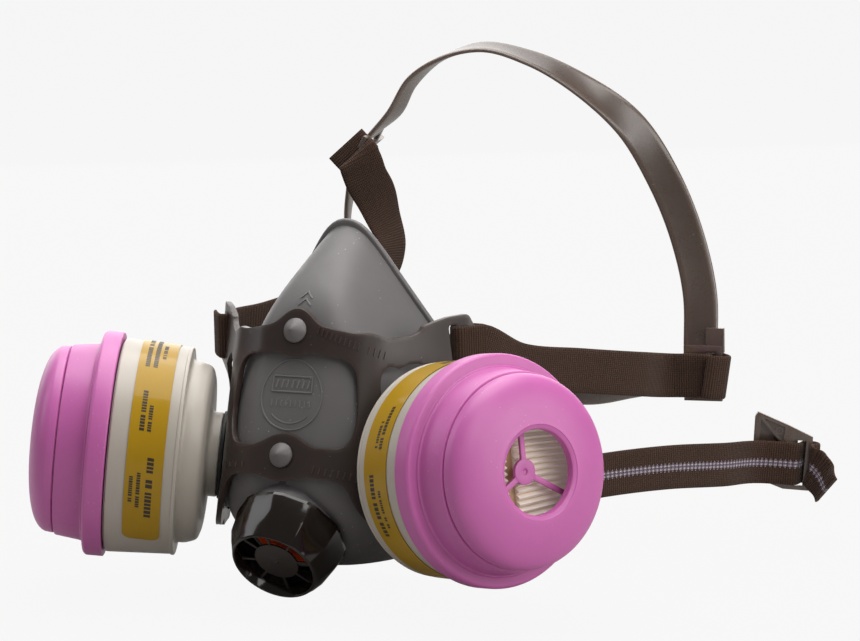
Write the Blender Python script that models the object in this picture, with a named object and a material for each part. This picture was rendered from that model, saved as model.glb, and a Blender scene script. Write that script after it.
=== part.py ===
"""Elastomeric half-mask respirator with two screw-on combination cartridges.

Frame: +Z up, the mask faces -Y, the wearer's face is on the +Y side, and the
origin is the centre of the face opening.  Lengths below are millimetres and
are scaled to metres when a mesh is made.
"""
import math

import bmesh
import bpy
from mathutils import Matrix, Vector

MM = 0.001
GAP = 0.3

# ---------------------------------------------------------------- materials
# name: (red, green, blue, roughness, metallic)
PALETTE = {
    "face_rubber": (0.085, 0.085, 0.095, 0.42, 0.0),
    "yoke_plastic": (0.045, 0.034, 0.030, 0.38, 0.0),
    "port_plastic": (0.30, 0.31, 0.30, 0.40, 0.0),
    "canister_grey": (0.52, 0.50, 0.46, 0.45, 0.0),
    "filter_pink": (0.62, 0.13, 0.50, 0.40, 0.0),
    "label_gold": (0.40, 0.26, 0.03, 0.30, 0.0),
    "pleat_paper": (0.86, 0.82, 0.70, 0.90, 0.0),
    "charcoal": (0.03, 0.03, 0.03, 0.95, 0.0),
    "mesh_screen": (0.70, 0.70, 0.68, 0.70, 0.0),
    "valve_silicone": (0.75, 0.74, 0.70, 0.50, 0.0),
    "valve_red": (0.72, 0.06, 0.01, 0.45, 0.0),
    "guard_black": (0.012, 0.010, 0.009, 0.12, 0.0),
    "cradle_plastic": (0.060, 0.046, 0.040, 0.30, 0.0),
    "elastic_web": (0.035, 0.026, 0.022, 0.90, 0.0),
    "seal_rubber": (0.02, 0.02, 0.02, 0.60, 0.0),
}

# --------------------------------------------------------------- cartridges
# The cartridge frame starts at the centre of the collar's back face.
PORT_X = 47.0
PORT_Y = -40.0
PORT_Z = -20.0
PORT_SPLAY = math.radians(64.5)
PORT_RISE = math.radians(6.8)

NECK_BORE_R = 15.0
NECK_R = 16.3
NECK_END = -4.3
COLLAR_R = 35.0
COLLAR_CORNER = 6.0
COLLAR_END = 9.4
CANISTER_BACK_R = 39.9
CANISTER_FRONT_R = 41.25
CANISTER_END = 36.3
CANISTER_WALL = 1.3
FLANGE_START = CANISTER_END + GAP
FLANGE_R = 43.2
FLANGE_END = 44.1
STEP_BACK_R = 38.1
STEP_FRONT_R = 36.7
STEP_END = 55.8
DOME_START = STEP_END + GAP
DOME_RIM = 57.2
DOME_RIM_R = 36.0
DOME_HEIGHT = 10.7
DOME_POWER = 2.6
DOME_WALL = 2.2
WINDOW_R = 15.7
WINDOW_LIP_R = 17.6
MEDIA_R = 33.8
MEDIA_START = 40.0
MEDIA_END = 54.2
LABEL_START = 14.5
LABEL_END = 29.5
LABEL_THICKNESS = 0.3
LABEL_HALF_ANGLE = math.radians(150)
TURN_SEGMENTS = 36

# ------------------------------------------------------- inhalation fittings
CONNECTOR_R = 14.6
CONNECTOR_BORE_R = 12.2
CONNECTOR_FLANGE_R = 17.0
PORT_CUP_R = 17.4
PORT_BOSS_R = 19.6
CHEEK_DEPTH = 8.0
MASK_WALL = 2.6
VALVE_THICKNESS = 0.8

# -------------------------------------------------------- exhalation fittings
GUARD_PITCH = math.radians(35)
GUARD_BASE = Vector((0.0, -61.8, -43.5))
GUARD_FACETS = 10
FACET_DIP = 0.985
GUARD_BASE_R = 21.9
GUARD_WAIST_R = 20.4
GUARD_WAIST = 9.5
GUARD_FRONT_R = 16.4
GUARD_LENGTH = 18.0
GUARD_BORE_R = 14.4
GUARD_HUB_R = 8.8
GRILLE_FACE = 15.0
GRILLE_THICKNESS = 1.8
GRILLE_SPOKES = 8
SEAT_BORE_R = 11.4
SEAT_TUBE_R = 13.2
HOOD_CUP_R = 16.9
HOOD_BOSS_R = 19.5
HOOD_DROP = 0.8

# ------------------------------------------------------------------ harness
STRAP_WIDTH = 17.5
STRAP_THICKNESS = 1.5
BAND_WIDTH = 13.5
BAND_THICKNESS = 1.7


def clear_scene():
    for item in list(bpy.data.objects):
        bpy.data.objects.remove(item, do_unlink=True)


def make_material(name):
    red, green, blue, roughness, metallic = PALETTE[name]
    mat = bpy.data.materials.new(name)
    mat.use_nodes = True
    shader = mat.node_tree.nodes["Principled BSDF"]
    shader.inputs["Base Color"].default_value = (red, green, blue, 1.0)
    shader.inputs["Roughness"].default_value = roughness
    shader.inputs["Metallic"].default_value = metallic
    mat.diffuse_color = (red, green, blue, 1.0)
    return mat


def material(name):
    return bpy.data.materials.get(name) or make_material(name)


def add_piece(name, verts, faces, mat_name, origin=(0.0, 0.0, 0.0), smooth_angle=35):
    """Make one closed mesh object from world millimetres, faces outward."""
    base = Vector(origin)
    mesh = bpy.data.meshes.new(name)
    mesh.from_pydata([(Vector(v) - base) * MM for v in verts], [], faces)
    work = bmesh.new()
    work.from_mesh(mesh)
    bmesh.ops.recalc_face_normals(work, faces=work.faces)
    if work.calc_volume(signed=True) < 0:
        bmesh.ops.reverse_faces(work, faces=work.faces)
    work.to_mesh(mesh)
    work.free()
    mesh.shade_smooth()
    mesh.set_sharp_from_angle(angle=math.radians(smooth_angle))
    piece = bpy.data.objects.new(name, mesh)
    piece.location = base * MM
    mesh.materials.append(material(mat_name))
    bpy.context.scene.collection.objects.link(piece)
    return piece


def boolean(piece, tool, operation):
    """Apply one exact Boolean to a piece and drop the tool object."""
    step = piece.modifiers.new(operation.lower(), "BOOLEAN")
    step.operation = operation
    step.solver = "EXACT"
    step.object = tool
    graph = bpy.context.evaluated_depsgraph_get()
    graph.update()
    result = bpy.data.meshes.new_from_object(piece.evaluated_get(graph))
    piece.modifiers.clear()
    piece.data = result
    bpy.data.objects.remove(tool, do_unlink=True)


# ------------------------------------------------------------ local frames
def axis_frame(origin, axis):
    """Matrix whose +Z is the axis and whose +Y leans towards world up."""
    z_dir = Vector(axis).normalized()
    x_dir = Vector((0.0, 0.0, 1.0)).cross(z_dir).normalized()
    y_dir = z_dir.cross(x_dir)
    turn = Matrix((x_dir, y_dir, z_dir)).transposed()
    return Matrix.Translation(Vector(origin)) @ turn.to_4x4()


def port_axis(side):
    flat = math.cos(PORT_RISE)
    return Vector((side * math.sin(PORT_SPLAY) * flat, -math.cos(PORT_SPLAY) * flat,
                   math.sin(PORT_RISE)))


def port_frame(side):
    return axis_frame((side * PORT_X, PORT_Y, PORT_Z), port_axis(side))


GUARD_AXIS = Vector((0.0, -math.cos(GUARD_PITCH), -math.sin(GUARD_PITCH)))


def guard_frame():
    return axis_frame(GUARD_BASE, GUARD_AXIS)


# ---------------------------------------------------------- turned pieces
def arc(centre_r, centre_z, radius, start_deg, end_deg, steps):
    """Profile points (r, z) on a circular arc."""
    points = []
    for i in range(steps + 1):
        angle = math.radians(start_deg + (end_deg - start_deg) * i / steps)
        points.append((centre_r + radius * math.cos(angle), centre_z + radius * math.sin(angle)))
    return points


def turned(name, profile, frame, mat_name, segments=TURN_SEGMENTS, smooth_angle=35):
    """Turn a closed (r, z) outline about the frame's +Z into one solid."""
    verts = []
    rings = []
    for radius, height in profile:
        if radius < 1e-6:
            rings.append([len(verts)])
            verts.append(frame @ Vector((0.0, 0.0, height)))
            continue
        ring = []
        for i in range(segments):
            angle = 2 * math.pi * i / segments
            ring.append(len(verts))
            verts.append(frame @ Vector((radius * math.cos(angle), radius * math.sin(angle), height)))
        rings.append(ring)
    faces = []
    for first, second in zip(rings, rings[1:] + rings[:1]):
        if len(first) == 1 and len(second) == 1:
            continue
        for i in range(segments):
            j = (i + 1) % segments
            if len(first) == 1:
                faces.append((first[0], second[j], second[i]))
            elif len(second) == 1:
                faces.append((first[i], first[j], second[0]))
            else:
                faces.append((first[i], first[j], second[j], second[i]))
    return add_piece(name, verts, faces, mat_name, frame.to_translation(), smooth_angle)


def disc(name, radius, start, end, frame, mat_name, segments=TURN_SEGMENTS):
    profile = [(0.0, start), (radius, start), (radius, end), (0.0, end)]
    return turned(name, profile, frame, mat_name, segments)


def ring(name, inner, outer, start, end, frame, mat_name, segments=TURN_SEGMENTS):
    profile = [(inner, start), (outer, start), (outer, end), (inner, end)]
    return turned(name, profile, frame, mat_name, segments)


def box(name, low, high, frame, mat_name):
    """A block with corners low and high in the given frame."""
    verts = []
    for x in (low[0], high[0]):
        for y in (low[1], high[1]):
            for z in (low[2], high[2]):
                verts.append(frame @ Vector((x, y, z)))
    faces = [(0, 1, 3, 2), (4, 6, 7, 5), (0, 4, 5, 1), (2, 3, 7, 6), (0, 2, 6, 4), (1, 5, 7, 3)]
    return add_piece(name, verts, faces, mat_name, frame.to_translation())


def add_spokes(piece, count, inner, outer, width, start, end, frame, mat_name, first_deg=90.0):
    """Join radial bars to a piece."""
    for i in range(count):
        turn = Matrix.Rotation(math.radians(first_deg) + 2 * math.pi * i / count, 4, "Z")
        low = (inner, -width / 2, start)
        high = (outer, width / 2, end)
        boolean(piece, box("spoke", low, high, frame @ turn, mat_name), "UNION")


# ------------------------------------------------------------ the cartridge
def dome_height(radius):
    share = min(1.0, radius / DOME_RIM_R)
    return DOME_HEIGHT * (1.0 - share ** DOME_POWER) ** (1.0 / DOME_POWER)


def canister_profile():
    outer = [(NECK_BORE_R, NECK_END), (NECK_R, NECK_END), (NECK_R, 0.0)]
    outer += arc(COLLAR_R - COLLAR_CORNER, COLLAR_CORNER, COLLAR_CORNER, -90, 0, 3)
    outer += [(COLLAR_R, COLLAR_END), (CANISTER_BACK_R - 0.8, COLLAR_END),
              (CANISTER_BACK_R, COLLAR_END + 0.8), (CANISTER_FRONT_R, CANISTER_END)]
    inner = [(CANISTER_FRONT_R - CANISTER_WALL, CANISTER_END),
             (CANISTER_BACK_R - CANISTER_WALL, COLLAR_END + CANISTER_WALL),
             (COLLAR_R - CANISTER_WALL, COLLAR_END + CANISTER_WALL),
             (COLLAR_R - CANISTER_WALL, COLLAR_CORNER),
             (COLLAR_R - COLLAR_CORNER, CANISTER_WALL), (NECK_BORE_R, CANISTER_WALL)]
    return outer + inner


def cover_profile():
    radii = [36.0, 35.4, 33.8, 31.0, 25.0, WINDOW_LIP_R]
    outer = [(DOME_RIM_R - 0.6, DOME_START), (DOME_RIM_R, DOME_RIM)]
    outer += [(r, DOME_RIM + dome_height(r)) for r in radii[1:]]
    lip = DOME_RIM + dome_height(WINDOW_LIP_R)
    outer += [(WINDOW_R, lip - 1.2), (WINDOW_R, lip - DOME_WALL - 1.4)]
    inner = [(r, DOME_RIM + dome_height(r) - DOME_WALL) for r in reversed(radii[3:-1])]
    inner += [(33.4, DOME_RIM + 2.2), (33.4, DOME_START)]
    return outer + inner


def curved_label(name, frame):
    """A thin band wrapped part of the way round the canister."""
    steps = 24
    verts = []
    for i in range(steps + 1):
        angle = math.pi / 2 - LABEL_HALF_ANGLE + 2 * LABEL_HALF_ANGLE * i / steps
        for height in (LABEL_START, LABEL_END):
            slope = (CANISTER_FRONT_R - CANISTER_BACK_R) / (CANISTER_END - COLLAR_END)
            radius = CANISTER_BACK_R + slope * (height - COLLAR_END) + GAP
            for extra in (0.0, LABEL_THICKNESS):
                reach = radius + extra
                verts.append(frame @ Vector((reach * math.cos(angle), reach * math.sin(angle), height)))
    faces = [(0, 1, 3, 2), (4 * steps, 4 * steps + 2, 4 * steps + 3, 4 * steps + 1)]
    for i in range(steps):
        a = 4 * i
        b = a + 4
        faces += [(a, b, b + 1, a + 1), (a + 2, a + 3, b + 3, b + 2)]
        faces += [(a, a + 2, b + 2, b), (a + 1, b + 1, b + 3, a + 3)]
    return add_piece(name, verts, faces, "label_gold", frame.to_translation())


def pleated_media(name, frame):
    """A round pack of pleated paper: a disc with ridges cut across its front."""
    pitch = 6.0
    depth = 2.2
    piece = disc(name, MEDIA_R, MEDIA_START, MEDIA_END, frame, "pleat_paper", 28)
    grooves = int(2 * MEDIA_R / pitch)
    profile = []
    for i in range(grooves + 1):
        middle = (i - grooves / 2) * pitch
        profile += [(middle - pitch / 2, MEDIA_END + 1.0), (middle, MEDIA_END - depth)]
    profile.append(((grooves / 2 + 0.5) * pitch, MEDIA_END + 1.0))
    reach = MEDIA_R + 2.0
    verts = []
    for x in (-reach, reach):
        verts += [frame @ Vector((x, y, z)) for y, z in profile]
        verts += [frame @ Vector((x, profile[-1][0], MEDIA_END + 3.0)),
                  frame @ Vector((x, profile[0][0], MEDIA_END + 3.0))]
    count = len(profile) + 2
    faces = [tuple(range(count)), tuple(range(2 * count - 1, count - 1, -1))]
    for i in range(count):
        j = (i + 1) % count
        faces.append((i, i + count, j + count, j))
    boolean(piece, add_piece("groove_cutter", verts, faces, "pleat_paper"), "DIFFERENCE")
    return piece


def filter_spider(name, frame):
    """Ring with three arms and a hub that holds the media under the window."""
    start = 57.0
    end = 58.6
    piece = ring(name, 30.5, 33.0, start, end, frame, "filter_pink", 28)
    hub = disc("hub", 4.8, start, end, frame, "filter_pink", 16)
    add_spokes(hub, 3, 3.6, 31.5, 1.8, start + 0.2, end - 0.2, frame, "filter_pink")
    boolean(piece, hub, "UNION")
    return piece


def make_cartridge(side, tag):
    frame = port_frame(side)
    turned("cartridge_canister_" + tag, canister_profile(), frame, "canister_grey")
    bed = [(0.0, 11.2), (38.2, 11.2), (39.2, 32.0), (0.0, 32.0)]
    turned("sorbent_bed_" + tag, bed, frame, "charcoal", 28)
    disc("bed_screen_back_" + tag, 33.2, 8.6, 9.6, frame, "mesh_screen", 24)
    disc("bed_screen_front_" + tag, 39.2, 32.5, 33.5, frame, "mesh_screen", 24)
    curved_label("cartridge_label_" + tag, frame)
    housing = [(35.2, FLANGE_START), (FLANGE_R, FLANGE_START), (FLANGE_R, FLANGE_END - 1.0),
               (FLANGE_R - 0.8, FLANGE_END), (STEP_BACK_R, FLANGE_END), (STEP_FRONT_R, STEP_END),
               (34.2, STEP_END), (35.2, FLANGE_END + 1.0)]
    turned("filter_housing_" + tag, housing, frame, "filter_pink")
    pleated_media("filter_media_" + tag, frame)
    filter_spider("filter_spider_" + tag, frame)
    turned("filter_cover_" + tag, cover_profile(), frame, "filter_pink")
    ring("neck_gasket_" + tag, NECK_BORE_R, 16.9, -6.1, NECK_END - GAP, frame, "seal_rubber", 28)


def make_inhalation_port(side, tag):
    frame = port_frame(side)
    flange_top = -CHEEK_DEPTH + GAP + 1.3
    inner_face = -CHEEK_DEPTH - MASK_WALL - 1.4
    profile = [(CONNECTOR_BORE_R, inner_face - 1.6), (CONNECTOR_FLANGE_R, inner_face - 1.6),
               (CONNECTOR_FLANGE_R, inner_face), (CONNECTOR_R, inner_face),
               (CONNECTOR_R, flange_top - 1.3), (CONNECTOR_FLANGE_R, flange_top - 1.3),
               (CONNECTOR_FLANGE_R, flange_top), (CONNECTOR_R, flange_top),
               (CONNECTOR_R, 0.8), (CONNECTOR_BORE_R, 0.8)]
    name = "inhalation_connector_" + tag
    piece = turned(name, profile, frame, "port_plastic", 28)
    spokes = disc("hub", 2.4, inner_face - 1.4, inner_face + 0.4, frame, "port_plastic", 12)
    add_spokes(spokes, 4, 1.5, CONNECTOR_BORE_R + 0.8, 1.4, inner_face - 1.3, inner_face + 0.3,
               frame, "port_plastic", 45.0)
    boolean(piece, spokes, "UNION")
    seat = inner_face - 1.6 - GAP
    disc("inhalation_valve_" + tag, CONNECTOR_BORE_R + 1.8, seat - VALVE_THICKNESS, seat, frame,
         "valve_silicone", 28)


# ------------------------------------------------------- the mask's surface
SOFTNESS = 3.6


def plane(normal, point):
    """A bounding plane: unit normal and its distance from the origin."""
    unit = Vector(normal).normalized()
    return unit, unit.dot(Vector(point))


def both_sides(normal, point):
    mirror = Vector((-1.0, 1.0, 1.0))
    return [plane(normal, point), plane(Vector(normal) * mirror, Vector(point) * mirror)]


CHEEK_POINT = Vector((PORT_X, PORT_Y, PORT_Z)) - port_axis(1) * CHEEK_DEPTH
PANEL_PLANE = [plane((0.0, -0.956, 0.292), (0.0, -58.6, 8.8))]
CHEEK_PLANES = both_sides(port_axis(1), CHEEK_POINT)
SIDE_PLANES = both_sides((1.0, 0.0, 0.0), (50.0, 0.0, 0.0))
NOSE_PLANES = [plane((0.0, -0.566, 0.824), (0.0, -46.5, 45.0))]
NOSE_PLANES += both_sides((0.843, -0.162, 0.513), (7.0, -16.0, 65.5))
HOOD_PLANES = [plane(GUARD_AXIS, GUARD_BASE - GUARD_AXIS * HOOD_DROP)]
HOOD_PLANES += both_sides((0.664, -0.358, -0.657), (38.0, -50.0, -38.0))
HOOD_PLANES += both_sides((0.829, 0.1, -0.56), (48.0, 0.0, -30.0))
HOOD_PLANES += [plane((0.0, -0.05, -1.0), (0.0, -20.0, -61.5))]
MASK_PLANES = PANEL_PLANE + CHEEK_PLANES + SIDE_PLANES + NOSE_PLANES + HOOD_PLANES
FORMER_PLANES = PANEL_PLANE + CHEEK_PLANES + both_sides((1.0, 0.0, 0.0), (57.0, 0.0, 0.0))


def hull_level(point, planes):
    """Smooth maximum of the plane distances: below zero inside the hull."""
    values = [(unit.dot(point) - reach) / SOFTNESS for unit, reach in planes]
    top = max(values)
    return SOFTNESS * (top + math.log(sum(math.exp(v - top) for v in values)))


def hull_hit(start, direction, planes, level=0.0, reach=140.0):
    """The point where a ray from inside crosses the hull at a level."""
    low = 0.0
    high = reach
    for _ in range(30):
        middle = 0.5 * (low + high)
        if hull_level(start + direction * middle, planes) < level:
            low = middle
        else:
            high = middle
    return start + direction * low


def seal_depth(x, z):
    """How far back the face seal lies at a place on the face."""
    return -12.0 + 0.122 * (67.0 - z) + 0.0025 * x * x


MASK_CENTRE = Vector((0.0, -22.0, -2.0))
POLE_DIRECTION = (Vector((0.0, -58.6, 8.8)) - MASK_CENTRE).normalized()


def ray_direction(around, tilt):
    """Direction at an angle round and away from the pole direction."""
    side_dir = Vector((1.0, 0.0, 0.0))
    up_dir = side_dir.cross(POLE_DIRECTION).normalized() * -1.0
    spread = side_dir * math.cos(around) + up_dir * math.sin(around)
    return POLE_DIRECTION * math.cos(tilt) + spread * math.sin(tilt)


def rim_tilt(around):
    """The tilt at which the mask's surface meets the seal surface."""
    low = 0.5
    high = 2.6
    for _ in range(26):
        middle = 0.5 * (low + high)
        hit = hull_hit(MASK_CENTRE, ray_direction(around, middle), MASK_PLANES)
        if hit.y < seal_depth(hit.x, hit.z):
            low = middle
        else:
            high = middle
    return low


def mask_section(around, rows):
    """Closed section of the mask at one angle, from outer to inner pole."""
    limit = rim_tilt(around)
    outer = []
    inner = []
    for i in range(1, rows + 1):
        tilt = limit * i / rows
        direction = ray_direction(around, tilt)
        outer.append(hull_hit(MASK_CENTRE, direction, MASK_PLANES))
        inner.append(hull_hit(MASK_CENTRE, direction, MASK_PLANES, -MASK_WALL))
    rim = outer[-1]
    lip = []
    for share, lift in ((-0.035, 0.4), (-0.03, 2.4), (0.07, 3.2), (0.24, 1.6), (0.24, 0.4), (0.08, 1.2)):
        x = rim.x * (1.0 - share)
        z = rim.z * (1.0 - share)
        lip.append(Vector((x, seal_depth(x, z) + lift, z)))
    return outer + lip + list(reversed(inner[:-1]))


def add_boss(piece, frame, top, bore, cup, outer):
    """Cut a port through the mask and give it a flat, cupped rubber boss."""
    boolean(piece, disc("hole", cup, top - 14.0, top + 8.0, frame, "face_rubber", 28), "DIFFERENCE")
    floor = top - MASK_WALL
    skirt = top - 8.6
    inner = cup - 0.2
    profile = [(bore, floor), (bore, top), (outer, top), (outer, skirt), (inner, skirt), (inner, floor)]
    boolean(piece, turned("boss", profile, frame, "face_rubber", 28), "UNION")


def make_facepiece():
    columns = 38
    rows = 8
    verts = [hull_hit(MASK_CENTRE, POLE_DIRECTION, MASK_PLANES),
             hull_hit(MASK_CENTRE, POLE_DIRECTION, MASK_PLANES, -MASK_WALL)]
    sections = []
    for i in range(columns):
        section = mask_section(2 * math.pi * (i + 0.5) / columns, rows)
        sections.append(range(len(verts), len(verts) + len(section)))
        verts += section
    faces = []
    for first, second in zip(sections, sections[1:] + sections[:1]):
        faces.append((0, first[0], second[0]))
        faces.append((1, second[-1], first[-1]))
        for k in range(len(first) - 1):
            faces.append((first[k], first[k + 1], second[k + 1], second[k]))
    piece = add_piece("facepiece", verts, faces, "face_rubber", smooth_angle=50)
    for side in (1, -1):
        add_boss(piece, port_frame(side), -CHEEK_DEPTH, CONNECTOR_R + GAP, PORT_CUP_R, PORT_BOSS_R)
    add_boss(piece, guard_frame(), -HOOD_DROP, SEAT_TUBE_R + GAP, HOOD_CUP_R, HOOD_BOSS_R)
    for height in (UPPER_STUD_Z, LOWER_STUD_Z):
        boolean(piece, make_stud(height), "UNION")
    return piece


# ------------------------------------------------------------------ the yoke
YOKE_GAP = 0.4
YOKE_THICKNESS = 2.0
YOKE_AXIS_Y = -12.0
YOKE_UNIT = 48.0
UPPER_STUD_Z = 31.6
LOWER_STUD_Z = -13.5
PORT_U = 48.6
ARM_END_U = 74.0
ARM_CENTRE_U = 66.0
SLOT_U = 68.2
SLOT_HALF_WIDTH = 1.7
STUD_HOLE_R = 3.9
CUT_REACH = 6.0
ARM_HALF_HEIGHT = 13.3
UPPER_ARM_Z = 22.5
LOWER_ARM_Z = -37.0
SLOT_HALF = 9.3
YOKE_STEP = 3.7
UPPER_FLARE = 6.0
FLARE_START_U = 40.0
FLARE_START_Z = -8.0
FLARE_FULL_Z = 13.0


def capsule(u, z, start, end, radius_start, radius_end):
    """Signed distance to a rounded bar that may taper."""
    du = end[0] - start[0]
    dz = end[1] - start[1]
    share = ((u - start[0]) * du + (z - start[1]) * dz) / (du * du + dz * dz)
    share = max(0.0, min(1.0, share))
    radius = radius_start + (radius_end - radius_start) * share
    return math.hypot(u - start[0] - du * share, z - start[1] - dz * share) - radius


def rounded_box(u, z, centre, half, corner):
    du = abs(u - centre[0]) - half[0] + corner
    dz = abs(z - centre[1]) - half[1] + corner
    outside = math.hypot(max(du, 0.0), max(dz, 0.0))
    return outside + min(max(du, dz), 0.0) - corner


def blend(first, second, reach):
    """Smooth union of two signed distances."""
    mix = max(0.0, min(1.0, 0.5 + 0.5 * (second - first) / reach))
    return second * (1.0 - mix) + first * mix - reach * mix * (1.0 - mix)


def yoke_outline(u, z):
    """Signed distance, in the unrolled plane, to the yoke's outline."""
    u = abs(u)
    shape = capsule(u, z, (0.0, UPPER_STUD_Z), (33.0, 27.0), 5.0, 4.6)
    shape = blend(shape, capsule(u, z, (33.0, 27.0), (62.0, UPPER_ARM_Z + 1.0), 4.6, 9.5), 5.0)
    arm_half = (ARM_END_U - ARM_CENTRE_U, ARM_HALF_HEIGHT)
    arm = rounded_box(u, z, (ARM_CENTRE_U, UPPER_ARM_Z), arm_half, 2.5)
    shape = blend(shape, arm, 7.0)
    shape = blend(shape, math.hypot(u, z - UPPER_STUD_Z) - 8.6, 5.0)
    shape = blend(shape, capsule(u, z, (30.0, 24.0), (29.0, -14.0), 4.0, 5.0), 9.0)
    shape = blend(shape, capsule(u, z, (0.0, LOWER_STUD_Z), (28.0, -17.0), 4.8, 6.0), 6.0)
    shape = blend(shape, math.hypot(u, z - LOWER_STUD_Z) - 8.4, 5.0)
    shape = blend(shape, math.hypot(u - PORT_U, z - PORT_Z) - 27.0, 6.0)
    shape = blend(shape, capsule(u, z, (52.0, 5.0), (56.0, 22.0), 16.0, 8.0), 6.0)
    lower_arm = rounded_box(u, z, (ARM_CENTRE_U, LOWER_ARM_Z), arm_half, 2.5)
    shape = blend(shape, lower_arm, 6.0)
    window = capsule(u, z, (PORT_U, PORT_Z), (45.6, 9.5), 21.2, 10.5)
    return max(shape, -window)


def arm_flare(u, z):
    """How far the upper arms spring away from the face."""
    along = max(0.0, min(1.0, (abs(u) - FLARE_START_U) / (ARM_END_U - FLARE_START_U)))
    height = max(0.0, min(1.0, (z - FLARE_START_Z) / (FLARE_FULL_Z - FLARE_START_Z)))
    return UPPER_FLARE * along * along * height * height


def former_point(u, z, lift):
    """World point above the unrolled plane's (u, z), lift above the mask."""
    angle = u / YOKE_UNIT
    lift = lift + arm_flare(u, z)
    direction = Vector((math.sin(angle), -math.cos(angle), 0.0))
    return hull_hit(Vector((0.0, YOKE_AXIS_Y, z)), direction, FORMER_PLANES, lift)


def snapped(u, z):
    """Move a grid point near the outline onto it."""
    for _ in range(4):
        value = yoke_outline(u, z)
        step = 0.05
        grad_u = (yoke_outline(u + step, z) - yoke_outline(u - step, z)) / (2 * step)
        grad_z = (yoke_outline(u, z + step) - yoke_outline(u, z - step)) / (2 * step)
        size = max(0.25, grad_u * grad_u + grad_z * grad_z)
        u -= value * grad_u / size
        z -= value * grad_z / size
    return u, z


def yoke_cells():
    """Grid cells inside the outline, with rim vertices snapped to it."""
    across = int(ARM_END_U / YOKE_STEP) + 2
    low = int(-54.0 / YOKE_STEP)
    high = int(44.0 / YOKE_STEP) + 1
    cells = []
    for i in range(-across, across):
        for j in range(low, high):
            middle = yoke_outline((i + 0.5) * YOKE_STEP, (j + 0.5) * YOKE_STEP)
            if middle < 0.0:
                cells.append((i, j))
    return cells


def make_yoke():
    cells = set(yoke_cells())
    corner_cells = {}
    for i, j in cells:
        for di, dj in ((0, 0), (1, 0), (1, 1), (0, 1)):
            corner_cells.setdefault((i + di, j + dj), []).append((i, j))
    place = {}
    for (i, j), users in corner_cells.items():
        u = i * YOKE_STEP
        z = j * YOKE_STEP
        place[(i, j)] = (u, z) if len(users) == 4 else snapped(u, z)
    index = {key: n for n, key in enumerate(sorted(place))}
    count = len(index)
    verts = [former_point(*place[key], YOKE_GAP) for key in sorted(place)]
    verts += [former_point(*place[key], YOKE_GAP + YOKE_THICKNESS) for key in sorted(place)]
    faces = []
    for i, j in sorted(cells):
        loop = [index[(i, j)], index[(i + 1, j)], index[(i + 1, j + 1)], index[(i, j + 1)]]
        faces.append(tuple(reversed(loop)))
        faces.append(tuple(n + count for n in loop))
        neighbours = ((i, j - 1), (i + 1, j), (i, j + 1), (i - 1, j))
        for k, other in enumerate(neighbours):
            if other not in cells:
                a = loop[k]
                b = loop[(k + 1) % 4]
                faces.append((a, b, b + count, a + count))
    yoke = add_piece("harness_yoke", verts, faces, "yoke_plastic", smooth_angle=40)
    for height in (UPPER_STUD_Z, LOWER_STUD_Z):
        hole = disc("hole", STUD_HOLE_R, -CUT_REACH, CUT_REACH, stud_frame(height), "yoke_plastic", 16)
        boolean(yoke, hole, "DIFFERENCE")
    for height in (UPPER_ARM_Z, LOWER_ARM_Z):
        for side in (1, -1):
            boolean(yoke, slot_cutter(slot_frame(side, height), "yoke_plastic"), "DIFFERENCE")
    return yoke


def stud_frame(height):
    base = former_point(0.0, height, 0.0)
    normal = PANEL_PLANE[0][0]
    return axis_frame(base, normal)


def make_stud(height):
    """A rubber stud whose shank passes the yoke and whose head holds it."""
    under = YOKE_GAP + YOKE_THICKNESS + GAP + 0.2
    profile = [(0.0, -1.4), (3.2, -1.4), (3.2, under), (4.7, under), (4.6, under + 1.2),
               (3.6, under + 2.6), (1.8, under + 3.7), (0.0, under + 4.1)]
    return turned("stud", profile, stud_frame(height), "face_rubber", 16)


# ------------------------------------------------------ exhalation assembly
def faceted_shell(name, levels, bore, frame, mat_name):
    """A flat-sided ring whose outer face has one row of facets per level."""
    count = GUARD_FACETS
    verts = []
    loops = []
    for n, (radius, height) in enumerate(levels):
        loop = []
        for i in range(count * 2):
            angle = math.pi * (i + 0.5) / count
            reach = radius * (FACET_DIP if n == 1 and i % 2 else 1.0)
            loop.append(len(verts))
            verts.append(frame @ Vector((reach * math.cos(angle), reach * math.sin(angle), height)))
        loops.append(loop)
    for radius, height in bore:
        loop = []
        for i in range(count * 2):
            angle = math.pi * (i + 0.5) / count
            loop.append(len(verts))
            verts.append(frame @ Vector((radius * math.cos(angle), radius * math.sin(angle), height)))
        loops.append(loop)
    faces = []
    for first, second in zip(loops, loops[1:] + loops[:1]):
        for i in range(count * 2):
            j = (i + 1) % (count * 2)
            faces.append((first[i], first[j], second[j], second[i]))
    return add_piece(name, verts, faces, mat_name, frame.to_translation(), 12)


def make_valve_guard():
    frame = guard_frame()
    levels = [(GUARD_BASE_R, 0.0), (GUARD_WAIST_R, GUARD_WAIST), (GUARD_FRONT_R, GUARD_LENGTH - 0.6),
              (GUARD_FRONT_R - 0.5, GUARD_LENGTH)]
    bore = [(GUARD_BORE_R + 0.4, GUARD_LENGTH), (GUARD_BORE_R, GRILLE_FACE - GRILLE_THICKNESS),
            (18.4, GUARD_WAIST - 1.0), (19.6, 0.0)]
    shell = faceted_shell("valve_guard", levels, bore, frame, "guard_black")
    grille = disc("hub", GUARD_HUB_R, GRILLE_FACE - GRILLE_THICKNESS, GRILLE_FACE, frame, "guard_black", 24)
    add_spokes(grille, GRILLE_SPOKES, 7.0, GUARD_BORE_R + 0.9, 1.2, GRILLE_FACE - GRILLE_THICKNESS + 0.1,
               GRILLE_FACE - 0.3, frame, "guard_black", 90.0)
    boolean(shell, grille, "UNION")
    return shell


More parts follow.
